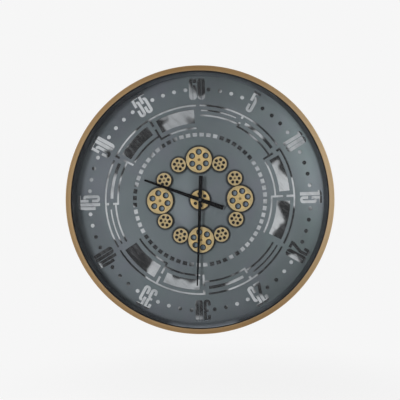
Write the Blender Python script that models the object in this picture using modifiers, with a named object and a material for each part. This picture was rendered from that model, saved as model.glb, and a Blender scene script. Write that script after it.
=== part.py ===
"""A round wall clock with turning gears in front of a cut-out dial.

Everything is modelled in the clock's own frame: x to the right, y up to twelve o'clock and z
forward from the wall. One empty turns that frame so that the front faces -Y, the wall is the
plane y = 0 and the hands turn about the origin. All sizes are in metres, and angles marked as
clock angles run clockwise from twelve o'clock, in degrees.
"""

import math

import bmesh
import bpy

# Clearances
GAP = 0.0003
RUNNING_GAP = 0.0004
GEAR_BACKLASH = 0.00055
DRIVE_BACKLASH = 0.0013
SPINDLE_GAP = 0.0005
EAR_INSET = 0.0001

# Meshing
WELD = 0.000001
SHARP_ANGLE = 32.0

# Case
CASE_RADIUS = 0.300
CASE_DEPTH = 0.076
CASE_SHEET = 0.0016
LIP_WIDTH = 0.0113
LIP_SHEET = 0.0018
LIP_ROUND = 0.0016
ROUND_SIDES = 40
GASKET_WIDTH = 0.0110
GASKET_THICKNESS = 0.0015
GLASS_THICKNESS = 0.003
GLASS_EDGE_GAP = 0.0009
WALL_SHEET = 0.0016
WALL_SETBACK = 0.0021

# Plates, from the wall forward
REAR_CLEARANCE = 0.001
PAN_SHEET = 0.0015
MIRROR_THICKNESS = 0.002
DIAL_THICKNESS = 0.0012
DRIVE_HEADROOM = 0.0026

# Dial cut-outs, radially: each gap leads inwards from the cut-out outside it
NUMBER_BAND = 0.0665
OUTER_ARC_LINE = 0.0038
WINDOW_GAP = 0.0080
THIN_ARC_LINE = 0.0030
BAR_GAP = 0.0092
BAR_HEIGHT = 0.0065
HIGH_STEP_GAP = 0.0082
LOW_STEP_GAP = 0.0091
STEP_ARC_LINE = 0.0038
SHORT_WINDOW_HEIGHT = 0.0236
TALL_WINDOW_HEIGHT = 0.0310
HIGH_FOOT_GAP = 0.0084
LOW_FOOT_GAP = 0.0096
FOOT_ARC_LINE = 0.0038
SLOT_GAP = 0.0090
SLOT_HEIGHT = 0.0085

# How far the stems reach past the arcs and windows they join or meet
SHORT_STEM = 0.0056
MIDDLE_STEM_TO_WINDOW = 0.0011
LONG_STEM_INTO_WINDOW = 0.0081
LONG_STEM_TO_FOOT_STEM = 0.0082
HIGH_STEP_STEM = 0.0042
LOW_STEP_STEM = 0.0075
LOW_STEP_STEM_FOOT = 0.0141

# Dial cut-outs as clock angles inside one third of the dial
DIAL_THIRDS = 3
ARC_STEP = 10.0
STEM_ANGLE = 1.3
FIRST_STEM = 28.8
SECOND_STEM = 59.0
THIRD_STEM = 89.1
OUTER_ARC_START = 1.4
OUTER_ARC_BREAK = 56.2
OUTER_ARC_END = 119.1
HIGH_STEP_START = 2.0
FOOT_ARC_START = 61.5
FOOT_ARC_END = 118.6
THIN_ARC_SPAN = (2.3, 25.2)
BAR_SPAN = (32.3, 55.6)
SHORT_WINDOW_SPAN = (62.0, 85.6)
TALL_WINDOW_SPAN = (92.3, 117.6)
SLOT_COUNT = 60
SLOT_ANGLE = 3.7

# Visible gears
GEAR_MODULE = 0.0021875
GEAR_ADDENDUM = 0.0019
GEAR_DEDENDUM = 0.0024
GEAR_PRESSURE = 20.0
LARGE_TEETH = 28
SMALL_TEETH = 16
CENTRE_TEETH = 21
GEAR_THICKNESS = 0.0025
GEAR_STANDOFF = 0.0046
FACE_THICKNESS = 0.001
FACE_MARGIN = 0.0005
LARGE_CIRCLE = 0.092
LARGE_HOLE_CIRCLE = 0.0180
LARGE_HOLE_RADIUS = 0.0070
LARGE_INNER_HOLE = 0.0050
SMALL_HOLE_CIRCLE = 0.0098
SMALL_HOLE_RADIUS = 0.0036
CENTRE_HOLE_CIRCLE = 0.0136
CENTRE_HOLE_RADIUS = 0.0039
HOLES = 6
SMALL_SPINDLE_RADIUS = 0.002

# Turn of each face's holes, as the clock angle of one of its holes
LARGE_HOLE_TURN = {12: 60.0, 3: 16.6, 6: 48.6, 9: 48.6}
SMALL_HOLE_TURN = {1: 16.6, 2: 30.6, 4: 39.6, 5: 18.1, 7: 11.6, 8: 37.6, 10: 23.6, 11: 40.1}
CENTRE_HOLE_TURN = 53.3

# Drive gears behind the mirror
DRIVE_MODULE = 0.0046
DRIVE_ADDENDUM = 0.0032
DRIVE_DEDENDUM = 0.0044
DRIVE_PRESSURE = 25.0
SUN_TEETH = 30
PINION_TEETH = 10
DRIVE_THICKNESS = 0.004
HUB_FOOT = 0.0005
HUB_RADIUS = 0.007
HUB_SEAT_RADIUS = 0.006
HUB_WALL = 0.0015
ARBOR_RADIUS = 0.0032
ARBOR_SEAT_RADIUS = 0.0024
ARBOR_TAIL = 0.0015
ARBOR_NOSE = 0.0007

# Hands
MINUTE_ANGLE = 183.4
MINUTE_LENGTH = 0.196
MINUTE_TAIL = 0.0547
MINUTE_WIDTHS = (0.0032, 0.0092)
HOUR_ANGLE = 291.0
HOUR_LENGTH = 0.135
HOUR_TAIL = 0.056
HOUR_WIDTHS = (0.0048, 0.0106)
HAND_THICKNESS = 0.001
HAND_SPACING = 0.0032
HOUR_HAND_RISE = 0.0043
HAND_EYE_RADIUS = 0.0048
HAND_CAP_RADIUS = 0.0032
HAND_CAP_HEIGHT = 0.0026
HAND_CAP_TOP_RADIUS = 0.0019
HAND_CAP_SHOULDER = 0.0014
MINUTE_SHAFT_RADIUS = 0.0014
HOUR_TUBE_WALL = 0.0008

# Clock movement
MOVEMENT_SIDE = 0.056
MOVEMENT_DEPTH = 0.0162
MOVEMENT_ROUND = 0.003
BUSH_WALL = 0.001
BUSH_TO_HAND = 0.0015
SHAFT_SOCKET = 0.0017
WASHER_RADIUS = 0.009
WASHER_THICKNESS = 0.0007
NUT_RADIUS = 0.0081
NUT_THICKNESS = 0.0017
SET_WHEEL_RADIUS = 0.006
SET_WHEEL_THICKNESS = 0.0032
SET_WHEEL_PLACE = (0.0160, 0.0160)
SET_WHEEL_PROUD = 0.0006
SET_WHEEL_NOTCHES = 12
SET_WHEEL_GROOVE = 0.0006
SET_WHEEL_LAND_ANGLE = 18.4

# Cells
CELL_RADIUS = 0.0071
CELL_LENGTH = 0.0490
CELL_TIP_LENGTH = 0.0015
CELL_TIP_RADIUS = 0.0027
CELL_END_GAP = 0.0008
MOVEMENT_CELL_HEIGHT = -0.0180

# Gear motor and its battery box
MOTOR_CLOCK_ANGLE = 45.0
MOTOR_RADIUS = 0.017
MOTOR_DEPTH = 0.0127
MOTOR_EAR_LENGTH = 0.0560
MOTOR_EAR_WIDTH = 0.0110
MOTOR_EAR_SHEET = 0.0015
MOTOR_SHAFT_RADIUS = 0.002
MOTOR_BOSS_RADIUS = 0.005
MOTOR_BOSS_RISE = 0.0012
MOTOR_SOCKET = 0.006
BOX_HEIGHT = -0.120
BOX_WALL = 0.0015
BOX_FLOOR = 0.0008
CELL_SPACING = 0.0150
COVER_SHEET = 0.0011
COVER_LIP = 0.0028

# Wall hanger
HANGER_TO_EDGE = 0.075
HANGER_LENGTH = 0.026
HANGER_SPAN = 0.040
HANGER_FOOT = 0.014
HANGER_SHEET = 0.0015
HANGER_WALL_GAP = 0.0025
KEYHOLE_HEAD_RADIUS = 0.005
KEYHOLE_SLOT_RADIUS = 0.0024
KEYHOLE_TRAVEL = 0.012

# Levels along z that follow from the sizes above
PAN_BACK = REAR_CLEARANCE + MOVEMENT_DEPTH + GAP
PAN_FRONT = PAN_BACK + PAN_SHEET
WASHER_FRONT = PAN_FRONT + GAP + WASHER_THICKNESS
NUT_FRONT = WASHER_FRONT + GAP + NUT_THICKNESS
HUB_BACK = NUT_FRONT + GAP
DRIVE_BACK = HUB_BACK + HUB_FOOT
DRIVE_FRONT = DRIVE_BACK + DRIVE_THICKNESS
MIRROR_BACK = DRIVE_FRONT + DRIVE_HEADROOM
MIRROR_FRONT = MIRROR_BACK + MIRROR_THICKNESS
DIAL_BACK = MIRROR_FRONT + GAP
DIAL_FRONT = DIAL_BACK + DIAL_THICKNESS
GEAR_BACK = DIAL_FRONT + GEAR_STANDOFF
GEAR_FRONT = GEAR_BACK + GEAR_THICKNESS
FACE_BACK = GEAR_FRONT + GAP
FACE_FRONT = FACE_BACK + FACE_THICKNESS
HOUR_HAND_BACK = FACE_FRONT + HOUR_HAND_RISE
HOUR_HAND_FRONT = HOUR_HAND_BACK + HAND_THICKNESS
MINUTE_HAND_BACK = HOUR_HAND_FRONT + HAND_SPACING
MINUTE_HAND_FRONT = MINUTE_HAND_BACK + HAND_THICKNESS
LIP_BACK = CASE_DEPTH - LIP_SHEET
GASKET_FRONT = LIP_BACK - GAP
GASKET_BACK = GASKET_FRONT - GASKET_THICKNESS
GLASS_FRONT = GASKET_BACK - GAP
GLASS_BACK = GLASS_FRONT - GLASS_THICKNESS
WALL_FRONT = GLASS_BACK - GAP
WALL_BACK = DIAL_FRONT + GAP

# Radii that follow
CASE_BORE = CASE_RADIUS - CASE_SHEET
PLATE_RADIUS = CASE_BORE - RUNNING_GAP
LIP_BORE = CASE_RADIUS - LIP_WIDTH
WALL_BORE = LIP_BORE - WALL_SETBACK
LARGE_PITCH = GEAR_MODULE * LARGE_TEETH / 2
SMALL_PITCH = GEAR_MODULE * SMALL_TEETH / 2
CENTRE_PITCH = GEAR_MODULE * CENTRE_TEETH / 2
SUN_PITCH = DRIVE_MODULE * SUN_TEETH / 2
PINION_PITCH = DRIVE_MODULE * PINION_TEETH / 2
ARBOR_HOLE = ARBOR_RADIUS + 2 * RUNNING_GAP
HOUR_TUBE_BORE = MINUTE_SHAFT_RADIUS + RUNNING_GAP
HOUR_TUBE_RADIUS = HOUR_TUBE_BORE + HOUR_TUBE_WALL
BUSH_BORE = HOUR_TUBE_RADIUS + 1.5 * RUNNING_GAP
BUSH_RADIUS = BUSH_BORE + BUSH_WALL
HUB_BORE = BUSH_RADIUS + 1.5 * RUNNING_GAP
SET_WHEEL_RECESS = SET_WHEEL_RADIUS + 2 * RUNNING_GAP
HANGER_HEIGHT = CASE_RADIUS - HANGER_TO_EDGE


def line_inwards(outer, line):
    """The inner and outer radius of a line of this width, from its outer radius."""
    return (outer - line, outer)


OUTER_ARC = line_inwards(WALL_BORE - NUMBER_BAND, OUTER_ARC_LINE)
WINDOW_OUTER = OUTER_ARC[0] - WINDOW_GAP
THIN_ARC = line_inwards(WINDOW_OUTER, THIN_ARC_LINE)
BAR_BAND = line_inwards(OUTER_ARC[0] - BAR_GAP, BAR_HEIGHT)
STEP_ARC_HIGH = line_inwards(THIN_ARC[0] - HIGH_STEP_GAP, STEP_ARC_LINE)
STEP_ARC_LOW = line_inwards(BAR_BAND[0] - LOW_STEP_GAP, STEP_ARC_LINE)
SHORT_WINDOW = line_inwards(WINDOW_OUTER, SHORT_WINDOW_HEIGHT)
TALL_WINDOW = line_inwards(WINDOW_OUTER, TALL_WINDOW_HEIGHT)
FOOT_ARC_HIGH = line_inwards(SHORT_WINDOW[0] - HIGH_FOOT_GAP, FOOT_ARC_LINE)
FOOT_ARC_LOW = line_inwards(TALL_WINDOW[0] - LOW_FOOT_GAP, FOOT_ARC_LINE)
SLOT_BAND = line_inwards(FOOT_ARC_LOW[0] - SLOT_GAP, SLOT_HEIGHT)

# Sides of the small round forms
SHAFT_SIDES = 12
ARBOR_SIDES = 8
SPINDLE_SIDES = 6


def clock_point(radius, clock_angle):
    """The point at this radius and clock angle."""
    turn = math.radians(clock_angle)
    return (radius * math.sin(turn), radius * math.cos(turn))


def circle(radius, sides, centre=(0.0, 0.0), turn=0.0):
    """The corners of a regular polygon, anticlockwise, the first at this angle from +x."""
    return [
        (
            centre[0] + radius * math.cos(turn + 2 * math.pi * k / sides),
            centre[1] + radius * math.sin(turn + 2 * math.pi * k / sides),
        )
        for k in range(sides)
    ]


def polar_outline(corners):
    """An outline through (radius, clock angle) corners, with arcs between corners of one radius."""
    points = []
    for (radius, angle), (next_radius, next_angle) in zip(corners, corners[1:] + corners[:1]):
        steps = 1
        if radius == next_radius:
            steps = max(1, math.ceil(abs(next_angle - angle) / ARC_STEP))
        for k in range(steps):
            points.append(clock_point(radius, angle + (next_angle - angle) * k / steps))
    return points


def band_outline(band, start, end):
    """An arc-shaped slot between two radii and two clock angles."""
    inner, outer = band
    return polar_outline([(inner, start), (outer, start), (outer, end), (inner, end)])


def gear_outline(teeth, module, addendum, dedendum, backlash, pressure, turn):
    """A gear's outline with straight flanks, one tooth centred on this angle from +x in radians."""
    pitch = module * teeth / 2
    half_tooth = math.pi * module / 4 - backlash / 2
    slope = math.tan(math.radians(pressure))
    tip_half = (half_tooth - addendum * slope) / (pitch + addendum)
    root_half = (half_tooth + dedendum * slope) / (pitch - dedendum)
    points = []
    for k in range(teeth):
        middle = turn + 2 * math.pi * k / teeth
        for radius, offset in (
            (pitch - dedendum, -root_half),
            (pitch + addendum, -tip_half),
            (pitch + addendum, tip_half),
            (pitch - dedendum, root_half),
        ):
            angle = middle + offset
            points.append((radius * math.cos(angle), radius * math.sin(angle)))
    return points


def fine_gear(teeth, turn):
    return gear_outline(
        teeth, GEAR_MODULE, GEAR_ADDENDUM, GEAR_DEDENDUM, GEAR_BACKLASH, GEAR_PRESSURE, turn
    )


def drive_gear(teeth, turn):
    return gear_outline(
        teeth, DRIVE_MODULE, DRIVE_ADDENDUM, DRIVE_DEDENDUM, DRIVE_BACKLASH, DRIVE_PRESSURE, turn
    )


def meshed_turn(leader_teeth, leader_turn, follower_teeth, direction):
    """The follower's tooth angle that puts a gap where the leader, in this direction, has a tooth."""
    return direction + math.pi + (math.pi - (leader_turn - direction) * leader_teeth) / follower_teeth


def direction_of(clock_angle):
    """A clock angle as an angle from +x in radians."""
    return math.radians(90.0 - clock_angle)


def small_circle_radius():
    """Where a small gear's centre lies so that it meshes with the large gear 30 degrees away."""
    spacing = LARGE_PITCH + SMALL_PITCH
    along = LARGE_CIRCLE * math.cos(math.radians(30))
    across = LARGE_CIRCLE * math.sin(math.radians(30))
    return along + math.sqrt(spacing**2 - across**2)


def start_scene():
    """Empties the scene and makes the two collections and the clock's own frame."""
    for obj in list(bpy.data.objects):
        bpy.data.objects.remove(obj, do_unlink=True)
    scene = bpy.context.scene
    for name in ("gear_wall_clock", "cutters"):
        scene.collection.children.link(bpy.data.collections.new(name))
    bpy.data.collections["cutters"].hide_render = True
    return axis_empty("clock_frame", None, (0.0, 0.0), turn_x=math.radians(90))


def axis_empty(name, parent, place, turn_x=0.0):
    """An empty that stands on an axis along z at this place."""
    empty = bpy.data.objects.new(name, None)
    empty.empty_display_size = 0.02
    empty.parent = parent
    empty.location = (place[0], place[1], 0.0)
    empty.rotation_euler = (turn_x, 0.0, 0.0)
    bpy.data.collections["gear_wall_clock"].objects.link(empty)
    return empty


def finish(name, colour, roughness, metallic, alpha=1.0):
    """A material with one Principled shader."""
    material = bpy.data.materials.new(name)
    material.use_nodes = True
    material.diffuse_color = (*colour, alpha)
    shader = material.node_tree.nodes["Principled BSDF"]
    shader.inputs["Base Color"].default_value = (*colour, 1.0)
    shader.inputs["Roughness"].default_value = roughness
    shader.inputs["Metallic"].default_value = metallic
    shader.inputs["Alpha"].default_value = alpha
    return material


def place(obj, parent, material):
    obj.parent = parent
    obj.data.materials.append(material)
    bpy.data.collections["gear_wall_clock"].objects.link(obj)
    return obj


def as_mesh(obj):
    """The object's solid as a welded, smooth-shaded mesh of the same name, place and parent."""
    bpy.context.view_layer.update()
    evaluated = obj.evaluated_get(bpy.context.evaluated_depsgraph_get())
    mesh = bpy.data.meshes.new_from_object(evaluated)
    shape = bmesh.new()
    shape.from_mesh(mesh)
    bmesh.ops.remove_doubles(shape, verts=shape.verts, dist=WELD)
    bmesh.ops.recalc_face_normals(shape, faces=shape.faces)
    shape.to_mesh(mesh)
    shape.free()
    mesh.shade_smooth()
    mesh.set_sharp_from_angle(angle=math.radians(SHARP_ANGLE))
    name = obj.name
    solid = bpy.data.objects.new(name + "_solid", mesh)
    solid.parent = obj.parent
    solid.matrix_local = obj.matrix_local
    for collection in obj.users_collection:
        collection.objects.link(solid)
    bpy.data.objects.remove(obj, do_unlink=True)
    solid.name = name
    return solid


def flat(name, parent, material, low, high, *loops):
    """A plate between two levels: the first loop is its outline and the others are holes."""
    curve = bpy.data.curves.new(name, "CURVE")
    curve.dimensions = "2D"
    curve.fill_mode = "BOTH"
    curve.extrude = (high - low) / 2
    for loop in loops:
        spline = curve.splines.new("POLY")
        spline.points.add(len(loop) - 1)
        for point, (x, y) in zip(spline.points, loop):
            point.co = (x, y, 0.0, 1.0)
        spline.use_cyclic_u = True
    obj = place(bpy.data.objects.new(name, curve), parent, material)
    obj.location.z = (low + high) / 2
    return as_mesh(obj)


def turned(name, parent, material, profile, sides, closed=True):
    """A profile of (radius, z) points turned about z. It runs down its outer side."""
    mesh = bpy.data.meshes.new(name)
    count = len(profile)
    edges = [(k, (k + 1) % count) for k in range(count if closed else count - 1)]
    mesh.from_pydata([(radius, 0.0, z) for radius, z in profile], edges, [])
    obj = place(bpy.data.objects.new(name, mesh), parent, material)
    screw = obj.modifiers.new("turn", "SCREW")
    screw.axis = "Z"
    screw.steps = sides
    screw.render_steps = sides
    screw.use_merge_vertices = True
    screw.merge_threshold = 0.000001
    return as_mesh(obj)


def tube(name, parent, material, inner, outer, low, high, sides):
    return turned(
        name, parent, material, [(outer, high), (outer, low), (inner, low), (inner, high)], sides
    )


def rod(name, parent, material, steps, sides):
    """A solid turned piece: (radius, z) corners down its side, closed on the axis at both ends."""
    profile = [(0.0, steps[0][1]), *steps, (0.0, steps[-1][1])]
    return turned(name, parent, material, profile, sides, closed=False)


def block(name, parent, material, low, high):
    """A box between two corners."""
    mesh = bpy.data.meshes.new(name)
    shape = bmesh.new()
    bmesh.ops.create_cube(shape, size=1.0)
    bmesh.ops.scale(shape, vec=[b - a for a, b in zip(low, high)], verts=shape.verts)
    shape.to_mesh(mesh)
    shape.free()
    obj = place(bpy.data.objects.new(name, mesh), parent, material)
    obj.location = [(a + b) / 2 for a, b in zip(low, high)]
    return obj


def combine(target, other, operation):
    """Cuts the other object from the target or joins it on, and keeps it as a hidden helper."""
    boolean = target.modifiers.new(other.name, "BOOLEAN")
    boolean.operation = operation
    boolean.object = other
    for collection in list(other.users_collection):
        collection.objects.unlink(other)
    bpy.data.collections["cutters"].objects.link(other)
    other.hide_render = True
    other.display_type = "WIRE"
    return target


def cut(target, other):
    return combine(target, other, "DIFFERENCE")


def join(target, other):
    return combine(target, other, "UNION")


def case_hoop(frame, material):
    """The rolled hoop with its front lip."""
    profile = [
        (CASE_RADIUS, CASE_DEPTH - LIP_ROUND),
        (CASE_RADIUS, 0.0),
        (CASE_BORE, 0.0),
        (CASE_BORE, LIP_BACK),
        (LIP_BORE, LIP_BACK),
        (LIP_BORE, CASE_DEPTH - LIP_ROUND / 2),
        (LIP_BORE + LIP_ROUND / 2, CASE_DEPTH),
        (CASE_RADIUS - LIP_ROUND, CASE_DEPTH),
        (CASE_RADIUS - LIP_ROUND / 4, CASE_DEPTH - LIP_ROUND / 4),
    ]
    turned("case_hoop", frame, material, profile, ROUND_SIDES)


def front_glass(frame, rubber, glass, wall):
    """The glass, its gasket and the inner wall that holds it off the dial."""
    glass_radius = CASE_BORE - GLASS_EDGE_GAP
    tube(
        "glass_gasket", frame, rubber, WALL_BORE, WALL_BORE + GASKET_WIDTH, GASKET_BACK, GASKET_FRONT,
        ROUND_SIDES,
    )
    flat("front_glass", frame, glass, GLASS_BACK, GLASS_FRONT, circle(glass_radius, ROUND_SIDES))
    tube(
        "inner_wall", frame, wall, WALL_BORE, WALL_BORE + WALL_SHEET, WALL_BACK, WALL_FRONT,
        ROUND_SIDES,
    )


def dial_cutouts():
    """The arcs, windows and stems, repeated round the dial, and the ring of minute slots."""
    half = STEM_ANGLE / 2
    first = (FIRST_STEM - half, FIRST_STEM + half)
    second = (SECOND_STEM - half, SECOND_STEM + half)
    third = (THIRD_STEM - half, THIRD_STEM + half)
    short_end = OUTER_ARC[0] - SHORT_STEM
    middle_end = WINDOW_OUTER + MIDDLE_STEM_TO_WINDOW
    long_end = WINDOW_OUTER - LONG_STEM_INTO_WINDOW
    foot_end = long_end - LONG_STEM_TO_FOOT_STEM
    high_end = STEP_ARC_HIGH[1] + HIGH_STEP_STEM
    low_end = STEP_ARC_LOW[1] + LOW_STEP_STEM
    low_foot = STEP_ARC_LOW[0] - LOW_STEP_STEM_FOOT
    loops = []
    for k in range(DIAL_THIRDS):
        start = k * 360.0 / DIAL_THIRDS
        shapes = [
            # The outer arc over the first two sectors, with a short stem
            [
                (OUTER_ARC[0], OUTER_ARC_START),
                (OUTER_ARC[1], OUTER_ARC_START),
                (OUTER_ARC[1], OUTER_ARC_BREAK),
                (OUTER_ARC[0], OUTER_ARC_BREAK),
                (OUTER_ARC[0], first[1]),
                (short_end, first[1]),
                (short_end, first[0]),
                (OUTER_ARC[0], first[0]),
            ],
            # The outer arc over the last two sectors, with the long stems
            [
                (OUTER_ARC[0], third[0]),
                (long_end, third[0]),
                (long_end, third[1]),
                (OUTER_ARC[0], third[1]),
                (OUTER_ARC[0], OUTER_ARC_END),
                (OUTER_ARC[1], OUTER_ARC_END),
                (OUTER_ARC[1], second[0]),
                (middle_end, second[0]),
                (middle_end, second[1]),
                (OUTER_ARC[0], second[1]),
            ],
            # The stepped inner arc of the first two sectors, with both its stems
            [
                (STEP_ARC_HIGH[0], HIGH_STEP_START),
                (STEP_ARC_HIGH[1], HIGH_STEP_START),
                (STEP_ARC_HIGH[1], first[0]),
                (high_end, first[0]),
                (high_end, first[1]),
                (STEP_ARC_LOW[1], first[1]),
                (STEP_ARC_LOW[1], second[0]),
                (low_end, second[0]),
                (low_end, second[1]),
                (low_foot, second[1]),
                (low_foot, second[0]),
                (STEP_ARC_LOW[0], second[0]),
                (STEP_ARC_LOW[0], first[0]),
                (STEP_ARC_HIGH[0], first[0]),
            ],
            # The stepped inner arc of the last two sectors, with its stem
            [
                (FOOT_ARC_HIGH[0], FOOT_ARC_START),
                (FOOT_ARC_HIGH[1], FOOT_ARC_START),
                (FOOT_ARC_HIGH[1], third[0]),
                (foot_end, third[0]),
                (foot_end, third[1]),
                (FOOT_ARC_LOW[1], third[1]),
                (FOOT_ARC_LOW[1], FOOT_ARC_END),
                (FOOT_ARC_LOW[0], FOOT_ARC_END),
                (FOOT_ARC_LOW[0], third[0]),
                (FOOT_ARC_HIGH[0], third[0]),
            ],
        ]
        for corners in shapes:
            loops.append(polar_outline([(radius, start + angle) for radius, angle in corners]))
        for band, (low, high) in (
            (THIN_ARC, THIN_ARC_SPAN),
            (BAR_BAND, BAR_SPAN),
            (SHORT_WINDOW, SHORT_WINDOW_SPAN),
            (TALL_WINDOW, TALL_WINDOW_SPAN),
        ):
            loops.append(band_outline(band, start + low, start + high))
    for k in range(SLOT_COUNT):
        middle = (k + 0.5) * 360.0 / SLOT_COUNT
        loops.append(band_outline(SLOT_BAND, middle - SLOT_ANGLE / 2, middle + SLOT_ANGLE / 2))
    return loops


def large_centres():
    return {hour: clock_point(LARGE_CIRCLE, 30.0 * hour) for hour in (12, 3, 6, 9)}


def small_centres():
    radius = small_circle_radius()
    return {hour: clock_point(radius, 30.0 * hour) for hour in (1, 2, 4, 5, 7, 8, 10, 11)}


def plates(frame, dial_steel, mirror, pan_steel):
    """The dial, the mirror behind it and the pan that carries the works."""
    hub_hole = circle(HUB_RADIUS + 2 * RUNNING_GAP, SHAFT_SIDES)
    arbor_holes = [circle(ARBOR_HOLE, ARBOR_SIDES, centre) for centre in large_centres().values()]
    spindle_holes = [
        circle(SMALL_SPINDLE_RADIUS + SPINDLE_GAP, SPINDLE_SIDES, centre)
        for centre in small_centres().values()
    ]
    outline = circle(PLATE_RADIUS, ROUND_SIDES)
    flat(
        "dial_plate", frame, dial_steel, DIAL_BACK, DIAL_FRONT,
        outline, hub_hole, *arbor_holes, *spindle_holes, *dial_cutouts(),
    )
    flat("mirror_plate", frame, mirror, MIRROR_BACK, MIRROR_FRONT, outline, hub_hole, *arbor_holes)
    boss_hole = circle(MOTOR_BOSS_RADIUS + GAP, SHAFT_SIDES, motor_centre())
    pan = flat(
        "back_pan", frame, pan_steel, PAN_BACK, PAN_FRONT,
        circle(PLATE_RADIUS - PAN_SHEET / 2, ROUND_SIDES), circle(BUSH_RADIUS + GAP, SHAFT_SIDES),
        boss_hole, *arbor_holes,
    )
    rim = tube(
        "pan_rim", frame, pan_steel, PLATE_RADIUS - PAN_SHEET, PLATE_RADIUS, PAN_BACK, MIRROR_BACK - GAP,
        ROUND_SIDES,
    )
    join(pan, rim)


def motor_centre():
    return clock_point(LARGE_CIRCLE, MOTOR_CLOCK_ANGLE)


def hole_ring(radius, sides, ring_radius, turn):
    """Six holes round a wheel, one of them at this clock angle."""
    return [
        circle(radius, sides, clock_point(ring_radius, turn + 360.0 * k / HOLES))
        for k in range(HOLES)
    ]


def large_gear(frame, hour, centre, black, gold, steel):
    """A large gear with its gold face, on the arbor that the drive turns."""
    axis = axis_empty(f"large_axis_{hour:02d}", frame, centre)
    direction = direction_of(30.0 * hour)
    turn = direction + math.pi / LARGE_TEETH
    holes = LARGE_HOLE_TURN[hour]
    bore = circle(ARBOR_SEAT_RADIUS + RUNNING_GAP, ARBOR_SIDES)
    flat(
        f"large_gear_{hour:02d}", axis, black, GEAR_BACK, GEAR_FRONT, fine_gear(LARGE_TEETH, turn), bore,
        *hole_ring(LARGE_INNER_HOLE, 6, LARGE_HOLE_CIRCLE, holes),
    )
    flat(
        f"large_face_{hour:02d}", axis, gold, FACE_BACK, FACE_FRONT,
        circle(LARGE_PITCH - FACE_MARGIN, 24), bore,
        *hole_ring(LARGE_HOLE_RADIUS, 8, LARGE_HOLE_CIRCLE, holes),
    )
    pinion_turn = meshed_turn(SUN_TEETH, 0.0, PINION_TEETH, direction)
    arbor = rod(
        f"gear_arbor_{hour:02d}", axis, steel,
        [
            (ARBOR_SEAT_RADIUS, FACE_FRONT + ARBOR_NOSE),
            (ARBOR_SEAT_RADIUS, GEAR_BACK - GAP),
            (ARBOR_RADIUS, GEAR_BACK - GAP),
            (ARBOR_RADIUS, PAN_BACK - ARBOR_TAIL),
        ],
        ARBOR_SIDES,
    )
    pinion = flat(
        f"pinion_{hour:02d}", axis, steel, DRIVE_BACK, DRIVE_FRONT, drive_gear(PINION_TEETH, pinion_turn)
    )
    join(arbor, pinion)
    return turn


def small_gear(frame, hour, centre, leader_turns, black, gold):
    """A small gear that runs on its own spindle in the dial and meshes with a large one."""
    axis = axis_empty(f"small_axis_{hour:02d}", frame, centre)
    leader = min((12, 3, 6, 9), key=lambda other: min(abs(other - hour), 12 - abs(other - hour)))
    start = large_centres()[leader]
    direction = math.atan2(centre[1] - start[1], centre[0] - start[0])
    turn = meshed_turn(LARGE_TEETH, leader_turns[leader], SMALL_TEETH, direction)
    gear = flat(
        f"small_gear_{hour:02d}", axis, black, GEAR_BACK, GEAR_FRONT, fine_gear(SMALL_TEETH, turn)
    )
    spindle = rod(
        f"spindle_{hour:02d}", axis, black,
        [
            (SMALL_SPINDLE_RADIUS, GEAR_BACK + GEAR_THICKNESS / 2),
            (SMALL_SPINDLE_RADIUS, DIAL_BACK + GAP),
        ],
        SPINDLE_SIDES,
    )
    join(gear, spindle)
    flat(
        f"small_face_{hour:02d}", axis, gold, FACE_BACK, FACE_FRONT,
        circle(SMALL_PITCH - FACE_MARGIN, 18),
        *hole_ring(SMALL_HOLE_RADIUS, 6, SMALL_HOLE_CIRCLE, SMALL_HOLE_TURN[hour]),
    )


def sun_and_centre(frame, black, gold, drive_plastic):
    """The sun gear behind the mirror and the centre gear, both on one hub."""
    axis = axis_empty("sun_axis", frame, (0.0, 0.0))
    hub = turned(
        "drive_sun_gear", axis, drive_plastic,
        [
            (HUB_SEAT_RADIUS, FACE_FRONT + ARBOR_NOSE),
            (HUB_SEAT_RADIUS, GEAR_BACK - GAP),
            (HUB_RADIUS, GEAR_BACK - GAP),
            (HUB_RADIUS, HUB_BACK),
            (HUB_BORE, HUB_BACK),
            (HUB_BORE, FACE_FRONT + ARBOR_NOSE),
        ],
        SHAFT_SIDES,
    )
    bore = circle(HUB_RADIUS - HUB_WALL, SHAFT_SIDES)
    join(
        hub,
        flat("sun_rim", axis, drive_plastic, DRIVE_BACK, DRIVE_FRONT, drive_gear(SUN_TEETH, 0.0), bore),
    )
    seat = circle(HUB_SEAT_RADIUS + GAP, SHAFT_SIDES)
    flat(
        "centre_gear", axis, black, GEAR_BACK, GEAR_FRONT, fine_gear(CENTRE_TEETH, 0.0), seat
    )
    flat(
        "centre_face", axis, gold, FACE_BACK, FACE_FRONT, circle(CENTRE_PITCH - FACE_MARGIN, 20), seat,
        *hole_ring(CENTRE_HOLE_RADIUS, 6, CENTRE_HOLE_CIRCLE, CENTRE_HOLE_TURN),
    )


def hand_outline(length, tail, widths, clock_angle):
    """A hand that narrows from a square tail to its tip, with a round eye at the axis."""
    tip, end = widths[0] / 2, widths[1] / 2
    middle = tip + (end - tip) * length / (length + tail)
    meet = math.asin(middle / HAND_EYE_RADIUS)
    eye = [
        (HAND_EYE_RADIUS * math.sin(a), HAND_EYE_RADIUS * math.cos(a))
        for a in (meet, math.pi / 2, math.pi - meet)
    ]
    side = [(tip, length), *eye, (end, -tail)]
    points = side + [(-x, y) for x, y in reversed(side)]
    turn = -math.radians(clock_angle)
    return [
        (x * math.cos(turn) - y * math.sin(turn), x * math.sin(turn) + y * math.cos(turn))
        for x, y in points
    ]


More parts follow.
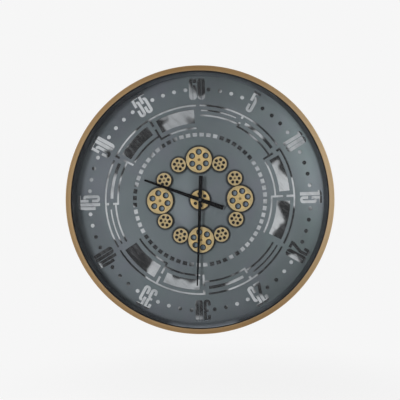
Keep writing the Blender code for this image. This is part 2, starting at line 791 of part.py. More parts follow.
def hands(frame, black, steel):
    """Both hands with the shaft and tube that turn them, and the cap on the end."""
    socket = PAN_BACK - SHAFT_SOCKET
    hour = axis_empty("hour_axis", frame, (0.0, 0.0))
    tube(
        "hour_tube", hour, steel, HOUR_TUBE_BORE, HOUR_TUBE_RADIUS, socket, HOUR_HAND_FRONT + GAP,
        SHAFT_SIDES,
    )
    flat(
        "hour_hand", hour, black, HOUR_HAND_BACK, HOUR_HAND_FRONT,
        hand_outline(HOUR_LENGTH, HOUR_TAIL, HOUR_WIDTHS, HOUR_ANGLE),
        circle(HOUR_TUBE_RADIUS + GAP, SHAFT_SIDES),
    )
    minute = axis_empty("minute_axis", frame, (0.0, 0.0))
    rod(
        "minute_shaft", minute, steel,
        [(MINUTE_SHAFT_RADIUS, MINUTE_HAND_FRONT), (MINUTE_SHAFT_RADIUS, socket)],
        SHAFT_SIDES,
    )
    flat(
        "minute_hand", minute, black, MINUTE_HAND_BACK, MINUTE_HAND_FRONT,
        hand_outline(MINUTE_LENGTH, MINUTE_TAIL, MINUTE_WIDTHS, MINUTE_ANGLE),
        circle(MINUTE_SHAFT_RADIUS + GAP, SHAFT_SIDES),
    )
    cap_back = MINUTE_HAND_FRONT + GAP
    rod(
        "hand_cap", minute, steel,
        [
            (HAND_CAP_TOP_RADIUS, cap_back + HAND_CAP_HEIGHT),
            (HAND_CAP_RADIUS, cap_back + HAND_CAP_SHOULDER),
            (HAND_CAP_RADIUS, cap_back),
        ],
        SHAFT_SIDES,
    )


def cell(name, parent, material, centre, towards):
    """A round cell that lies along x, its tip at the end that +1 or -1 gives."""
    half = CELL_LENGTH / 2
    body = rod(
        name, parent, material,
        [
            (CELL_TIP_RADIUS, half + CELL_TIP_LENGTH),
            (CELL_TIP_RADIUS, half),
            (CELL_RADIUS, half),
            (CELL_RADIUS, -half),
        ],
        SHAFT_SIDES,
    )
    body.rotation_euler = (0.0, towards * math.pi / 2, 0.0)
    body.location = centre
    return body


def movement(frame, plastic, steel, rubber, cell_wrap):
    """The quartz movement behind the pan, held by its nut, with its cell and setting wheel."""
    half = MOVEMENT_SIDE / 2
    front = PAN_BACK - GAP
    bush_top = HOUR_HAND_BACK - BUSH_TO_HAND
    case = block(
        "movement_case", frame, plastic, (-half, -half, REAR_CLEARANCE), (half, half, front)
    )
    rounding = case.modifiers.new("corners", "BEVEL")
    rounding.width = MOVEMENT_ROUND
    rounding.segments = 1
    rounding.limit_method = "ANGLE"
    join(
        case,
        rod("bush", frame, steel, [(BUSH_RADIUS, bush_top), (BUSH_RADIUS, front - GAP)], SHAFT_SIDES),
    )
    cut(
        case,
        rod(
            "bush_bore", frame, steel,
            [(BUSH_BORE, bush_top + GAP), (BUSH_BORE, front - SHAFT_SOCKET)], SHAFT_SIDES,
        ),
    )
    reach = CELL_LENGTH / 2 + CELL_TIP_LENGTH + CELL_END_GAP
    cell_centre = REAR_CLEARANCE + GAP + CELL_RADIUS + 2 * GAP
    bay = block(
        "cell_bay", frame, plastic,
        (-reach, MOVEMENT_CELL_HEIGHT - CELL_RADIUS - GAP, REAR_CLEARANCE - GAP),
        (reach, MOVEMENT_CELL_HEIGHT + CELL_RADIUS + GAP, cell_centre + CELL_RADIUS + GAP),
    )
    cut(case, bay)
    recess_top = REAR_CLEARANCE - SET_WHEEL_PROUD + SET_WHEEL_THICKNESS + GAP
    cut(
        case,
        flat(
            "set_wheel_recess", frame, plastic, REAR_CLEARANCE - GAP, recess_top,
            circle(SET_WHEEL_RECESS, SHAFT_SIDES, SET_WHEEL_PLACE),
        ),
    )
    cell("movement_cell", frame, cell_wrap, (0.0, MOVEMENT_CELL_HEIGHT, cell_centre), 1)
    tube(
        "movement_washer", frame, rubber, BUSH_RADIUS + GAP, WASHER_RADIUS, PAN_FRONT + GAP,
        WASHER_FRONT, SHAFT_SIDES,
    )
    flat(
        "movement_nut", frame, steel, WASHER_FRONT + GAP, NUT_FRONT, circle(NUT_RADIUS, 6),
        circle(BUSH_RADIUS + GAP, SHAFT_SIDES),
    )
    axis = axis_empty("set_axis", frame, SET_WHEEL_PLACE)
    low = REAR_CLEARANCE - SET_WHEEL_PROUD
    land = math.radians(SET_WHEEL_LAND_ANGLE / 2)
    rim = []
    for k in range(SET_WHEEL_NOTCHES):
        middle = 2 * math.pi * k / SET_WHEEL_NOTCHES
        for radius, angle in (
            (SET_WHEEL_RADIUS, middle - land),
            (SET_WHEEL_RADIUS, middle + land),
            (SET_WHEEL_RADIUS - SET_WHEEL_GROOVE, middle + math.pi / SET_WHEEL_NOTCHES),
        ):
            rim.append((radius * math.cos(angle), radius * math.sin(angle)))
    flat("time_set_wheel", axis, plastic, low, low + SET_WHEEL_THICKNESS, rim)


def capsule(length, width, ends=6):
    """A bar with round ends along x."""
    reach, radius = (length - width) / 2, width / 2
    right = [
        (reach + radius * math.cos(a), radius * math.sin(a))
        for a in (math.pi * (k / ends - 0.5) for k in range(ends + 1))
    ]
    return right + [(-x, -y) for x, y in right]


def gear_motor(frame, steel, drive_plastic):
    """The slow motor behind the pan and the gear on its shaft."""
    centre = motor_centre()
    front = PAN_BACK - GAP
    mount = axis_empty("motor_axis", frame, centre)
    body = rod(
        "gear_motor", mount, steel,
        [
            (MOTOR_BOSS_RADIUS, PAN_FRONT + MOTOR_BOSS_RISE),
            (MOTOR_BOSS_RADIUS, front),
            (MOTOR_RADIUS, front),
            (MOTOR_RADIUS, front - MOTOR_DEPTH),
        ],
        16,
    )
    ears = flat(
        "motor_ears", mount, steel, front - MOTOR_EAR_SHEET, front - EAR_INSET,
        capsule(MOTOR_EAR_LENGTH, MOTOR_EAR_WIDTH),
    )
    join(body, ears)
    socket = front - MOTOR_SOCKET
    cut(
        body,
        rod(
            "motor_bore", mount, steel,
            [
                (MOTOR_SHAFT_RADIUS + 1.5 * RUNNING_GAP, PAN_FRONT + 2 * MOTOR_BOSS_RISE),
                (MOTOR_SHAFT_RADIUS + 1.5 * RUNNING_GAP, socket),
            ],
            ARBOR_SIDES,
        ),
    )
    direction = direction_of(MOTOR_CLOCK_ANGLE)
    turn = meshed_turn(SUN_TEETH, 0.0, PINION_TEETH, direction)
    gear = rod(
        "motor_gear", mount, drive_plastic,
        [(MOTOR_SHAFT_RADIUS, DRIVE_FRONT + GAP), (MOTOR_SHAFT_RADIUS, socket + GAP)], ARBOR_SIDES,
    )
    join(
        gear,
        flat("motor_pinion", mount, drive_plastic, DRIVE_BACK, DRIVE_FRONT, drive_gear(PINION_TEETH, turn)),
    )


def battery_box(frame, plastic, cell_wrap):
    """The box for the gear motor's two cells, and the cover that slides off downwards."""
    front = PAN_BACK - GAP
    reach = CELL_LENGTH / 2 + CELL_TIP_LENGTH + CELL_END_GAP
    half = CELL_SPACING / 2 + CELL_RADIUS + GAP
    floor = front - BOX_FLOOR
    cell_centre = floor - GAP - CELL_RADIUS
    rear = cell_centre - CELL_RADIUS - GAP
    wall = BOX_WALL
    box = block(
        "battery_box", frame, plastic,
        (-reach - wall, BOX_HEIGHT - half - wall, rear), (reach + wall, BOX_HEIGHT + half + wall, front),
    )
    well = block(
        "battery_well", frame, plastic,
        (-reach, BOX_HEIGHT - half, rear - wall), (reach, BOX_HEIGHT + half, floor),
    )
    cut(box, well)
    for name, side in (("upper_cell", 1), ("lower_cell", -1)):
        cell(name, frame, cell_wrap, (0.0, BOX_HEIGHT + side * CELL_SPACING / 2, cell_centre), side)
    outer, inner = reach + wall + GAP + COVER_SHEET, reach + wall + GAP
    back = rear - GAP - COVER_SHEET
    profile = [
        (-outer, back),
        (outer, back),
        (outer, rear + COVER_LIP),
        (inner, rear + COVER_LIP),
        (inner, rear - GAP),
        (-inner, rear - GAP),
        (-inner, rear + COVER_LIP),
        (-outer, rear + COVER_LIP),
    ]
    cover = flat("battery_cover", frame, plastic, -half - wall, half + wall, profile)
    cover.rotation_euler = (math.pi / 2, 0.0, 0.0)
    cover.location = (0.0, BOX_HEIGHT, 0.0)


def wall_hanger(frame, steel):
    """A bent strap behind the pan with a keyhole for the wall screw."""
    low, high = HANGER_WALL_GAP, PAN_BACK - GAP
    half, sheet = HANGER_SPAN / 2, HANGER_SHEET
    end = half + HANGER_FOOT
    right = [
        (half, low),
        (half, high - sheet),
        (end, high - sheet),
        (end, high),
        (half - sheet, high),
        (half - sheet, low + sheet),
    ]
    profile = right + [(-x, z) for x, z in reversed(right)]
    strap = flat(
        "wall_hanger", frame, steel, -HANGER_LENGTH / 2, HANGER_LENGTH / 2, profile
    )
    strap.rotation_euler = (math.pi / 2, 0.0, 0.0)
    strap.location = (0.0, HANGER_HEIGHT, 0.0)
    head = HANGER_HEIGHT - KEYHOLE_TRAVEL / 2
    meet = math.asin(KEYHOLE_SLOT_RADIUS / KEYHOLE_HEAD_RADIUS)
    loop = []
    for k in range(9):
        angle = math.pi / 2 + meet + (2 * math.pi - 2 * meet) * k / 8
        loop.append((KEYHOLE_HEAD_RADIUS * math.cos(angle), head + KEYHOLE_HEAD_RADIUS * math.sin(angle)))
    for k in range(5):
        angle = math.pi * k / 4
        loop.append(
            (
                KEYHOLE_SLOT_RADIUS * math.cos(angle),
                head + KEYHOLE_TRAVEL + KEYHOLE_SLOT_RADIUS * math.sin(angle),
            )
        )
    cut(strap, flat("keyhole", frame, steel, low - sheet, low + 2 * sheet, loop))


def main():
    frame = start_scene()
    bronze = finish("bronze_lacquer", (0.34, 0.20, 0.09), 0.38, 0.85)
    rubber = finish("black_rubber", (0.02, 0.02, 0.02), 0.7, 0.0)
    glass = finish("clear_glass", (0.95, 0.97, 0.97), 0.03, 0.0, 0.12)
    wall = finish("grey_wall", (0.10, 0.115, 0.125), 0.5, 0.3)
    dial_steel = finish("blue_grey_dial", (0.135, 0.160, 0.175), 0.45, 0.4)
    mirror = finish("mirror", (0.85, 0.87, 0.88), 0.05, 1.0)
    pan_steel = finish("black_pan", (0.03, 0.03, 0.032), 0.55, 0.2)
    black = finish("black_gear", (0.012, 0.013, 0.014), 0.45, 0.1)
    gold = finish("gold_face", (0.62, 0.43, 0.18), 0.35, 0.7)
    steel = finish("bright_steel", (0.55, 0.55, 0.56), 0.3, 1.0)
    plastic = finish("black_plastic", (0.02, 0.02, 0.02), 0.5, 0.0)
    drive_plastic = finish("white_acetal", (0.72, 0.72, 0.70), 0.45, 0.0)
    cell_wrap = finish("cell_wrap", (0.05, 0.12, 0.06), 0.35, 0.2)
    hand_black = finish("black_hand", (0.008, 0.009, 0.010), 0.4, 0.0)

    case_hoop(frame, bronze)
    front_glass(frame, rubber, glass, wall)
    plates(frame, dial_steel, mirror, pan_steel)
    sun_and_centre(frame, black, gold, drive_plastic)
    leader_turns = {
        hour: large_gear(frame, hour, centre, black, gold, steel)
        for hour, centre in large_centres().items()
    }
    for hour, centre in small_centres().items():
        small_gear(frame, hour, centre, leader_turns, black, gold)
    hands(frame, hand_black, steel)
    movement(frame, plastic, steel, rubber, cell_wrap)
    gear_motor(frame, steel, drive_plastic)
    battery_box(frame, plastic, cell_wrap)
    wall_hanger(frame, steel)
    bpy.context.view_layer.update()


main()
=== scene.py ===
"""Dresses the gear wall clock: smooth turned rings, a cut-out dial, toothed gears and real finishes.

Shapes are drawn in the clock's own frame, x to the right, y up to twelve o'clock and z forward
from the wall, in metres, and are then turned so that the front faces -Y. Clock angles run
clockwise from twelve o'clock, in degrees.
"""

import math

import bmesh
import bpy
from bpy.props import FloatProperty, FloatVectorProperty, PointerProperty
from mathutils import Matrix


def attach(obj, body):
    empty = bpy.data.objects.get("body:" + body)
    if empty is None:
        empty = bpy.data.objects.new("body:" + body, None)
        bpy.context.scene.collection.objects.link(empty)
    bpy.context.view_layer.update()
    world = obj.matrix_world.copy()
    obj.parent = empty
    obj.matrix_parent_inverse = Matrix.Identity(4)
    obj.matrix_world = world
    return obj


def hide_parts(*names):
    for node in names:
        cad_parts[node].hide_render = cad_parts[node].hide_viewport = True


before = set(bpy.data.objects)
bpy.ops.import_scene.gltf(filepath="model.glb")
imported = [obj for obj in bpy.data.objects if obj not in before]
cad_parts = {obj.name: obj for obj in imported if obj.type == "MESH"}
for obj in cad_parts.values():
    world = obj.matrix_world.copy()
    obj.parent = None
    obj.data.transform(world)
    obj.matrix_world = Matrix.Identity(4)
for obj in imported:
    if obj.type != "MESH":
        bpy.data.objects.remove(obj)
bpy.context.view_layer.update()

bl_info = {
    "name": "Gear wall clock",
    "version": (1, 0, 0),
    "blender": (4, 5, 0),
    "location": "3D View > Sidebar > Gear clock",
    "description": "Builds the visible pieces and finishes of a wall clock with turning gears",
    "category": "Object",
}

UPRIGHT = Matrix.Rotation(math.pi / 2, 4, "X")

# Levels forward of the wall
REAR_SCREWS = 0.0157
PAN = (0.0175, 0.0190)
RIM_TOP = 0.0291
DIAL = (0.0317, 0.0329)
SPINDLE_FOOT = 0.0320
WALL = (0.0332, 0.0688)
GLASS = (0.0691, 0.0721)
GASKET = (0.0724, 0.0739)
LIP_BACK = 0.0742
LIP_DISH = 0.07575
DEPTH = 0.076
GEAR = (0.0375, 0.0400)
FACE = (0.0403, 0.0413)
HOUR = (0.0456, 0.0466)
MINUTE = (0.0498, 0.0508)
CAP = (0.0511, 0.0537)

# Radii of the case
HOOP_RADII = (0.2984, 0.3000)
LIP_INNER = 0.2887
DISH_RADII = (0.2908, 0.2978)
GASKET_RADII = (0.2866, 0.2976)
WALL_RADII = (0.2866, 0.2882)
GLASS_RADIUS = 0.2975
DIAL_RADIUS = 0.2980
PAN_RADIUS = 0.2972
RIM_RADII = (0.2965, 0.2980)
RIM_FOOT = 0.2930
BEAD_CIRCLES = (0.2360, 0.1680)
PAN_SCREW_CIRCLE = 0.2885

# Circles that carry the gears, and the turn of each face's holes
LARGE_CIRCLE = 0.092
SMALL_CIRCLE = 0.093817
LARGE_TURNS = {12: 60.0, 3: 16.6, 6: 48.6, 9: 48.6}
SMALL_TURNS = {1: 16.6, 2: 30.6, 4: 39.6, 5: 18.1, 7: 11.6, 8: 37.6, 10: 23.6, 11: 40.1}
CENTRE_TURN = 53.3
LARGE_TEETH, SMALL_TEETH, CENTRE_TEETH = 49, 28, 37
TOOTH_MODULE = 0.00125
LARGE_FACE, SMALL_FACE, CENTRE_FACE = 0.0296, 0.0165, 0.0220
LARGE_HOLES, SMALL_HOLES, CENTRE_HOLES = 0.0180, 0.0098, 0.0136
HOLES = 6
ARBOR_BORE, SPINDLE_RADIUS, CENTRE_SEAT = 0.0027, 0.0018, 0.0063
HUB_OPENING, ARBOR_OPENING, SPINDLE_OPENING = 0.0078, 0.0040, 0.0025
BUSH_OPENING, MOTOR_OPENING = 0.00485, 0.0053
MOTOR_HOUR, MOTOR_EAR = 1.5, 0.0225
HANGER_LEVEL, HANGER_EAR = 0.225, 0.027
# Screw heads on the gears: radius, rise, turn for each hour, and width for the radius of the black cross and ring
# painted as the slot's shade and the head's shadow
GEAR_SCREWS = {"large": (0.0030, 0.0011, 20.0, 0.11), "small": (0.0020, 0.0005, 35.0, 0.33)}

# The dial's cut-outs: radii of the arcs and windows
OUTER_ARC = (0.2163, 0.2201)
THIN_ARC = (0.2053, 0.2083)
HIGH_STEP = (0.1933, 0.1971)
LOW_STEP = (0.1877, 0.1915)
BAR = (0.2006, 0.2071)
WINDOW_OUTER = 0.2083
SHORT_WINDOW, TALL_WINDOW = 0.1847, 0.1773
HIGH_FOOT = (0.1725, 0.1763)
LOW_FOOT = (0.1639, 0.1677)
# Clock angles of the three stems in each third, their half width, and the radii at which they end
STEMS = (28.8, 59.0, 89.1)
STEM_HALF = 0.65
HANGING_STEMS = (0.2107, 0.2094, 0.2002)
STANDING_STEMS = (0.2013, 0.1990, 0.1920)
LOW_STEM = 0.1736
SLOTS = (0.1464, 0.1549)
SLOT_WIDTH = 3.7
DOT_CIRCLE, DOT_RADIUS = 0.2555, 0.0044
NUMBER_FOOT = 0.2314
NUMBER_GAP = 0.0022
CUT_SPREAD = 0.00025

# Hands and cap
HOUR_AT, MINUTE_AT = 291.0, 183.4
HOUR_BORE, MINUTE_BORE = 0.0030, 0.0017
EYE_RADIUS = 0.0046
CAP_RADIUS, CAP_EDGE = 0.0032, 0.0006

# Cut-out digits in millimetres: each loop is a list of corners, the third number its rounding
DIGITS = {
    "0": (
        17.0,
        [(0, 0, 7.4), (7.7, 0), (7.7, 49.8), (0, 49.8, 7.4)],
        [(9.3, 0), (17, 0, 7.4), (17, 49.8, 7.4), (9.3, 49.8)],
    ),
    "1": (
        11.4,
        [(4, 0), (11.4, 0), (11.4, 49.8), (6.4, 49.8), (0, 46), (0, 40.6), (4, 42.4)],
    ),
    "2": (
        15.8,
        [
            (0, 35), (0, 49.8, 7.4), (15.8, 49.8, 7.4), (15.8, 29, 4), (7.4, 6.4), (15.8, 6.4),
            (15.8, 0), (0, 0), (0, 7.6), (9.4, 30.4, 4), (9.4, 44, 1.5), (6.2, 44, 1.5), (6.2, 35),
        ],
    ),
    "3": (
        15.8,
        [
            (0, 36), (0, 49.8, 7.4), (15.8, 49.8, 7.4), (15.8, 27.5, 3.4), (13.4, 25.2, 1),
            (15.8, 22.9, 3.4), (15.8, 0, 7.4), (0, 0, 7.4), (0, 13.4), (6.2, 13.4), (6.2, 6, 1.5),
            (9.4, 6, 1.5), (9.4, 22.4, 1), (4.6, 22.4), (4.6, 28), (9.4, 28, 1), (9.4, 43.8, 1.5),
            (6.2, 43.8, 1.5), (6.2, 36),
        ],
    ),
    "4": (
        15.6,
        [(0, 10.4), (7.2, 10.4), (7.2, 15.8), (6.1, 15.8), (7.2, 43), (7.2, 49.8), (2.6, 49.8, 6), (0, 34, 9)],
        [(8.7, 0), (15.6, 0), (15.6, 49.8), (8.7, 49.8)],
    ),
    "5": (
        15.8,
        [(0, 49.8), (15.8, 49.8), (15.8, 44.4), (5.9, 44.4), (5.9, 26.4), (0, 26.4)],
        [
            (7.3, 38.4), (15.8, 38.4, 5.4), (15.8, 0, 7), (0, 0, 7), (0, 18.6), (6, 18.6),
            (6, 5.8, 1.6), (9.5, 5.8, 1.6), (9.5, 33, 1), (7.3, 33),
        ],
    ),
    "6": (
        17.4,
        [(0, 0, 7.4), (7.8, 0), (7.8, 49.8), (0, 49.8, 7.4)],
        [(9.4, 0), (17.4, 0, 7.4), (17.4, 33.6, 6.4), (9.4, 33.6)],
        [(9.4, 39), (17.4, 39), (17.4, 49.8, 7.4), (9.4, 49.8)],
    ),
}


def point(radius, clock_angle):
    """A point at this radius and clock angle."""
    turn = math.radians(clock_angle)
    return (radius * math.sin(turn), radius * math.cos(turn))


def turned(points, angle):
    """The points turned anticlockwise by an angle in radians."""
    c, s = math.cos(angle), math.sin(angle)
    return [(x * c - y * s, x * s + y * c) for x, y in points]


def circle(radius, sides, centre=(0.0, 0.0)):
    """A circle as a closed loop of points."""
    angles = [2 * math.pi * k / sides for k in range(sides)]
    return [(centre[0] + radius * math.cos(a), centre[1] + radius * math.sin(a)) for a in angles]


def rounded(corners, steps=5):
    """The outline with each corner that gives a third number replaced by an arc of that radius."""
    points = []
    for k, (x, y, *radius) in enumerate(corners):
        if not radius:
            points.append((x, y))
            continue
        before, after = corners[k - 1], corners[(k + 1) % len(corners)]
        ax, ay = before[0] - x, before[1] - y
        bx, by = after[0] - x, after[1] - y
        a, b = math.hypot(ax, ay), math.hypot(bx, by)
        ax, ay, bx, by = ax / a, ay / a, bx / b, by / b
        half = math.acos(max(-1.0, min(1.0, ax * bx + ay * by))) / 2
        # An arc takes nearly a whole side, or half of one that ends in another arc
        room = [side * (0.499 if len(end) > 2 else 0.97) for side, end in ((a, before), (b, after))]
        reach = min(radius[0] / math.tan(half), *room)
        bend = reach * math.tan(half)
        mx, my = ax + bx, ay + by
        m = math.hypot(mx, my)
        cx, cy = x + mx / m * bend / math.sin(half), y + my / m * bend / math.sin(half)
        start = math.atan2(y + ay * reach - cy, x + ax * reach - cx)
        end = math.atan2(y + by * reach - cy, x + bx * reach - cx)
        sweep = (end - start + math.pi) % (2 * math.pi) - math.pi
        for j in range(steps + 1):
            t = start + sweep * j / steps
            points.append((cx + bend * math.cos(t), cy + bend * math.sin(t)))
    return points


def arc_outline(corners):
    """An outline through (radius, clock angle) corners, with arcs between corners of one radius."""
    points = []
    for (radius, angle), (next_radius, next_angle) in zip(corners, corners[1:] + corners[:1]):
        steps = 1
        if radius == next_radius:
            steps = max(1, math.ceil(abs(next_angle - angle) / 2.0))
        for k in range(steps):
            points.append(point(radius, angle + (next_angle - angle) * k / steps))
    return points


def band(radii, start, end):
    """The outline of a band between two radii and two clock angles."""
    return arc_outline([(radii[0], start), (radii[1], start), (radii[1], end), (radii[0], end)])


def dial_cutouts():
    """Every opening of the dial: arcs, windows, stems, minute slots, dots and numbers."""
    (left1, right1), (left2, right2), (left3, right3) = ((stem - STEM_HALF, stem + STEM_HALF) for stem in STEMS)
    hanging1, hanging2, hanging3 = HANGING_STEMS
    standing1, standing2, standing3 = STANDING_STEMS
    # Corners and bands of one third of the dial, with clock angles from its start
    shapes = (
        [
            (OUTER_ARC[0], 1.4), (OUTER_ARC[1], 1.4), (OUTER_ARC[1], 56.2), (OUTER_ARC[0], 56.2),
            (OUTER_ARC[0], right1), (hanging1, right1), (hanging1, left1), (OUTER_ARC[0], left1),
        ],
        [
            (OUTER_ARC[0], left3), (hanging3, left3), (hanging3, right3), (OUTER_ARC[0], right3),
            (OUTER_ARC[0], 119.1), (OUTER_ARC[1], 119.1), (OUTER_ARC[1], left2), (hanging2, left2),
            (hanging2, right2), (OUTER_ARC[0], right2),
        ],
        [
            (HIGH_STEP[0], 2.0), (HIGH_STEP[1], 2.0), (HIGH_STEP[1], left1), (standing1, left1),
            (standing1, right1), (LOW_STEP[1], right1), (LOW_STEP[1], left2), (standing2, left2),
            (standing2, right2), (LOW_STEM, right2), (LOW_STEM, left2), (LOW_STEP[0], left2),
            (LOW_STEP[0], left1), (HIGH_STEP[0], left1),
        ],
        [
            (HIGH_FOOT[0], 61.5), (HIGH_FOOT[1], 61.5), (HIGH_FOOT[1], left3), (standing3, left3),
            (standing3, right3), (LOW_FOOT[1], right3), (LOW_FOOT[1], 118.6), (LOW_FOOT[0], 118.6),
            (LOW_FOOT[0], left3), (HIGH_FOOT[0], left3),
        ],
    )
    bands = (
        (THIN_ARC, 2.3, 25.2),
        (BAR, 32.3, 55.6),
        ((SHORT_WINDOW, WINDOW_OUTER), 62.0, 85.6),
        ((TALL_WINDOW, WINDOW_OUTER), 92.3, 117.6),
    )
    loops = []
    for third in (0.0, 120.0, 240.0):
        loops += [arc_outline([(radius, third + angle) for radius, angle in corners]) for corners in shapes]
        loops += [band(radii, third + start, third + end) for radii, start, end in bands]
    for middle in range(3, 360, 6):
        loops.append(band(SLOTS, middle - SLOT_WIDTH / 2, middle + SLOT_WIDTH / 2))
    loops += [circle(DOT_RADIUS, 28, point(DOT_CIRCLE, 6.0 * minute)) for minute in range(60) if minute % 5]
    for hour in range(12):
        loops += number_loops(str(5 * hour or 60), 30.0 * hour)
    return loops


def number_loops(text, clock_angle):
    """The openings of one number, its top outward."""
    widths = [DIGITS[digit][0] * 0.001 for digit in text]
    left = -(sum(widths) + NUMBER_GAP * (len(text) - 1)) / 2
    loops = []
    for digit, width in zip(text, widths):
        for corners in DIGITS[digit][1:]:
            corners = [tuple(value * 0.001 for value in corner) for corner in corners]
            upright = [(left + x, NUMBER_FOOT + y) for x, y in rounded(corners)]
            loops.append(turned(upright, -math.radians(clock_angle)))
        left += width + NUMBER_GAP
    return loops


def gear_outline(teeth, turn):
    """Rounded teeth round a wheel, one of them centred on this angle from +x in radians."""
    pitch = TOOTH_MODULE * teeth / 2
    flank = ((-1.24, 0.330), (-0.5, 0.282), (0.35, 0.222), (0.85, 0.178), (1.04, 0.125))
    tooth = [(rise, -share) for rise, share in flank] + list(reversed(flank))
    points = []
    for k in range(teeth):
        middle = turn + 2 * math.pi * k / teeth
        for rise, share in tooth:
            angle = middle + share * 2 * math.pi / teeth
            radius = pitch + rise * TOOTH_MODULE
            points.append((radius * math.cos(angle), radius * math.sin(angle)))
    return points


def hole_ring(radius, sides, ring_radius, turn):
    """The round holes of a gear or of its face."""
    return [circle(radius, sides, point(ring_radius, turn + 360.0 / HOLES * k)) for k in range(HOLES)]


def plate_mesh(loops, low, high, edge=0.0, rounds=1, spread=0.0):
    """A plate between two levels with rounded edges: the first loop outlines it, the others are holes.

    Every cut is spread into the metal by this much.
    """
    curve = bpy.data.curves.new("outline", "CURVE")
    curve.dimensions = "2D"
    curve.fill_mode = "BOTH"
    curve.extrude = (high - low) / 2 - edge
    curve.bevel_depth = edge
    curve.bevel_resolution = rounds
    curve.offset = -edge - spread
    for loop in loops:
        spline = curve.splines.new("POLY")
        spline.points.add(len(loop) - 1)
        for place, (x, y) in zip(spline.points, loop):
            place.co = (x, y, 0.0, 1.0)
        spline.use_cyclic_u = True
    helper = bpy.data.objects.new("outline", curve)
    mesh = bpy.data.meshes.new_from_object(helper)
    bpy.data.objects.remove(helper)
    bpy.data.curves.remove(curve)
    shape = bmesh.new()
    shape.from_mesh(mesh)
    bmesh.ops.remove_doubles(shape, verts=shape.verts, dist=0.000002)
    bmesh.ops.translate(shape, verts=shape.verts, vec=(0.0, 0.0, (low + high) / 2))
    bmesh.ops.recalc_face_normals(shape, faces=shape.faces)
    shape.to_mesh(mesh)
    shape.free()
    return mesh


def turned_mesh(profile, sides, closed=True):
    """A profile of (radius, z) points turned about z. An open one starts and ends on the axis."""
    shape = bmesh.new()
    rings = []
    for radius, z in profile:
        if radius < 1e-7:
            rings.append([shape.verts.new((0.0, 0.0, z))] * sides)
        else:
            rings.append([shape.verts.new((x, y, z)) for x, y in circle(radius, sides)])
    count = len(rings)
    for j in range(count if closed else count - 1):
        a, b = rings[j], rings[(j + 1) % count]
        for k in range(sides):
            m = (k + 1) % sides
            corners = list(dict.fromkeys((a[k], a[m], b[m], b[k])))
            if len(corners) > 2:
                shape.faces.new(corners)
    bmesh.ops.recalc_face_normals(shape, faces=shape.faces)
    mesh = bpy.data.meshes.new("turned")
    shape.to_mesh(mesh)
    shape.free()
    return mesh


def ring_mesh(radii, levels, rounding, front_rounding, sides):
    """A flat-sided ring between two radii and two levels; its front inner edge has its own rounding."""
    inner, outer = radii
    low, high = levels
    corners = [(inner, low, rounding), (outer, low, rounding), (outer, high, rounding), (inner, high, front_rounding)]
    return turned_mesh(rounded(corners, 3), sides)


def merged(first, *others):
    """The first mesh with the others' shells added to it."""
    shape = bmesh.new()
    for mesh in (first, *others):
        shape.from_mesh(mesh)
    shape.to_mesh(first)
    shape.free()
    for mesh in others:
        bpy.data.meshes.remove(mesh)
    return first


def add_piece(name, mesh, finish, body="case", node=None, centre=(0.0, 0.0), sharp=34.0):
    """Puts a mesh drawn in the clock's frame into the scene, on the body that it moves with.

    The piece replaces the solid of this node, which is hidden, and its one slot holds the finish.
    """
    mesh.transform(UPRIGHT)
    mesh.materials.clear()
    mesh.materials.append(bpy.data.materials[finish])
    mesh.shade_smooth()
    mesh.set_sharp_from_angle(angle=math.radians(sharp))
    mesh.name = name
    piece = bpy.data.objects.new(name, mesh)
    piece.location = (centre[0], 0.0, centre[1])
    bpy.context.scene.collection.objects.link(piece)
    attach(piece, body)
    if node:
        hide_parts(node)


class Socket:
    """A socket of a finish's nodes, with arithmetic."""

    def __init__(self, finish, socket):
        self.finish = finish
        self.socket = socket

    def math(self, operation, *others):
        """This value and the others put through a Math node."""
        return self.finish.node("ShaderNodeMath", dict(enumerate((self, *others))), operation=operation)

    def back(self, operation, other):
        """The same with this value in second place."""
        return self.finish.node("ShaderNodeMath", {0: other, 1: self}, operation=operation)

    def __add__(self, other):
        return self.math("ADD", other)

    def __sub__(self, other):
        return self.math("SUBTRACT", other)

    def __mul__(self, other):
        return self.math("MULTIPLY", other)

    def __truediv__(self, other):
        return self.math("DIVIDE", other)

    def __pow__(self, other):
        return self.math("POWER", other)

    def __rsub__(self, other):
        return self.back("SUBTRACT", other)

    def __rtruediv__(self, other):
        return self.back("DIVIDE", other)

    def __rpow__(self, other):
        return self.back("POWER", other)

    __radd__ = __add__
    __rmul__ = __mul__

    def steps(self, low, high):
        """0 where this value is at low, 1 where it is at high, with soft ends."""
        return self.finish.node(
            "ShaderNodeMapRange", {0: self, 1: low, 2: high}, interpolation_type="SMOOTHSTEP"
        )


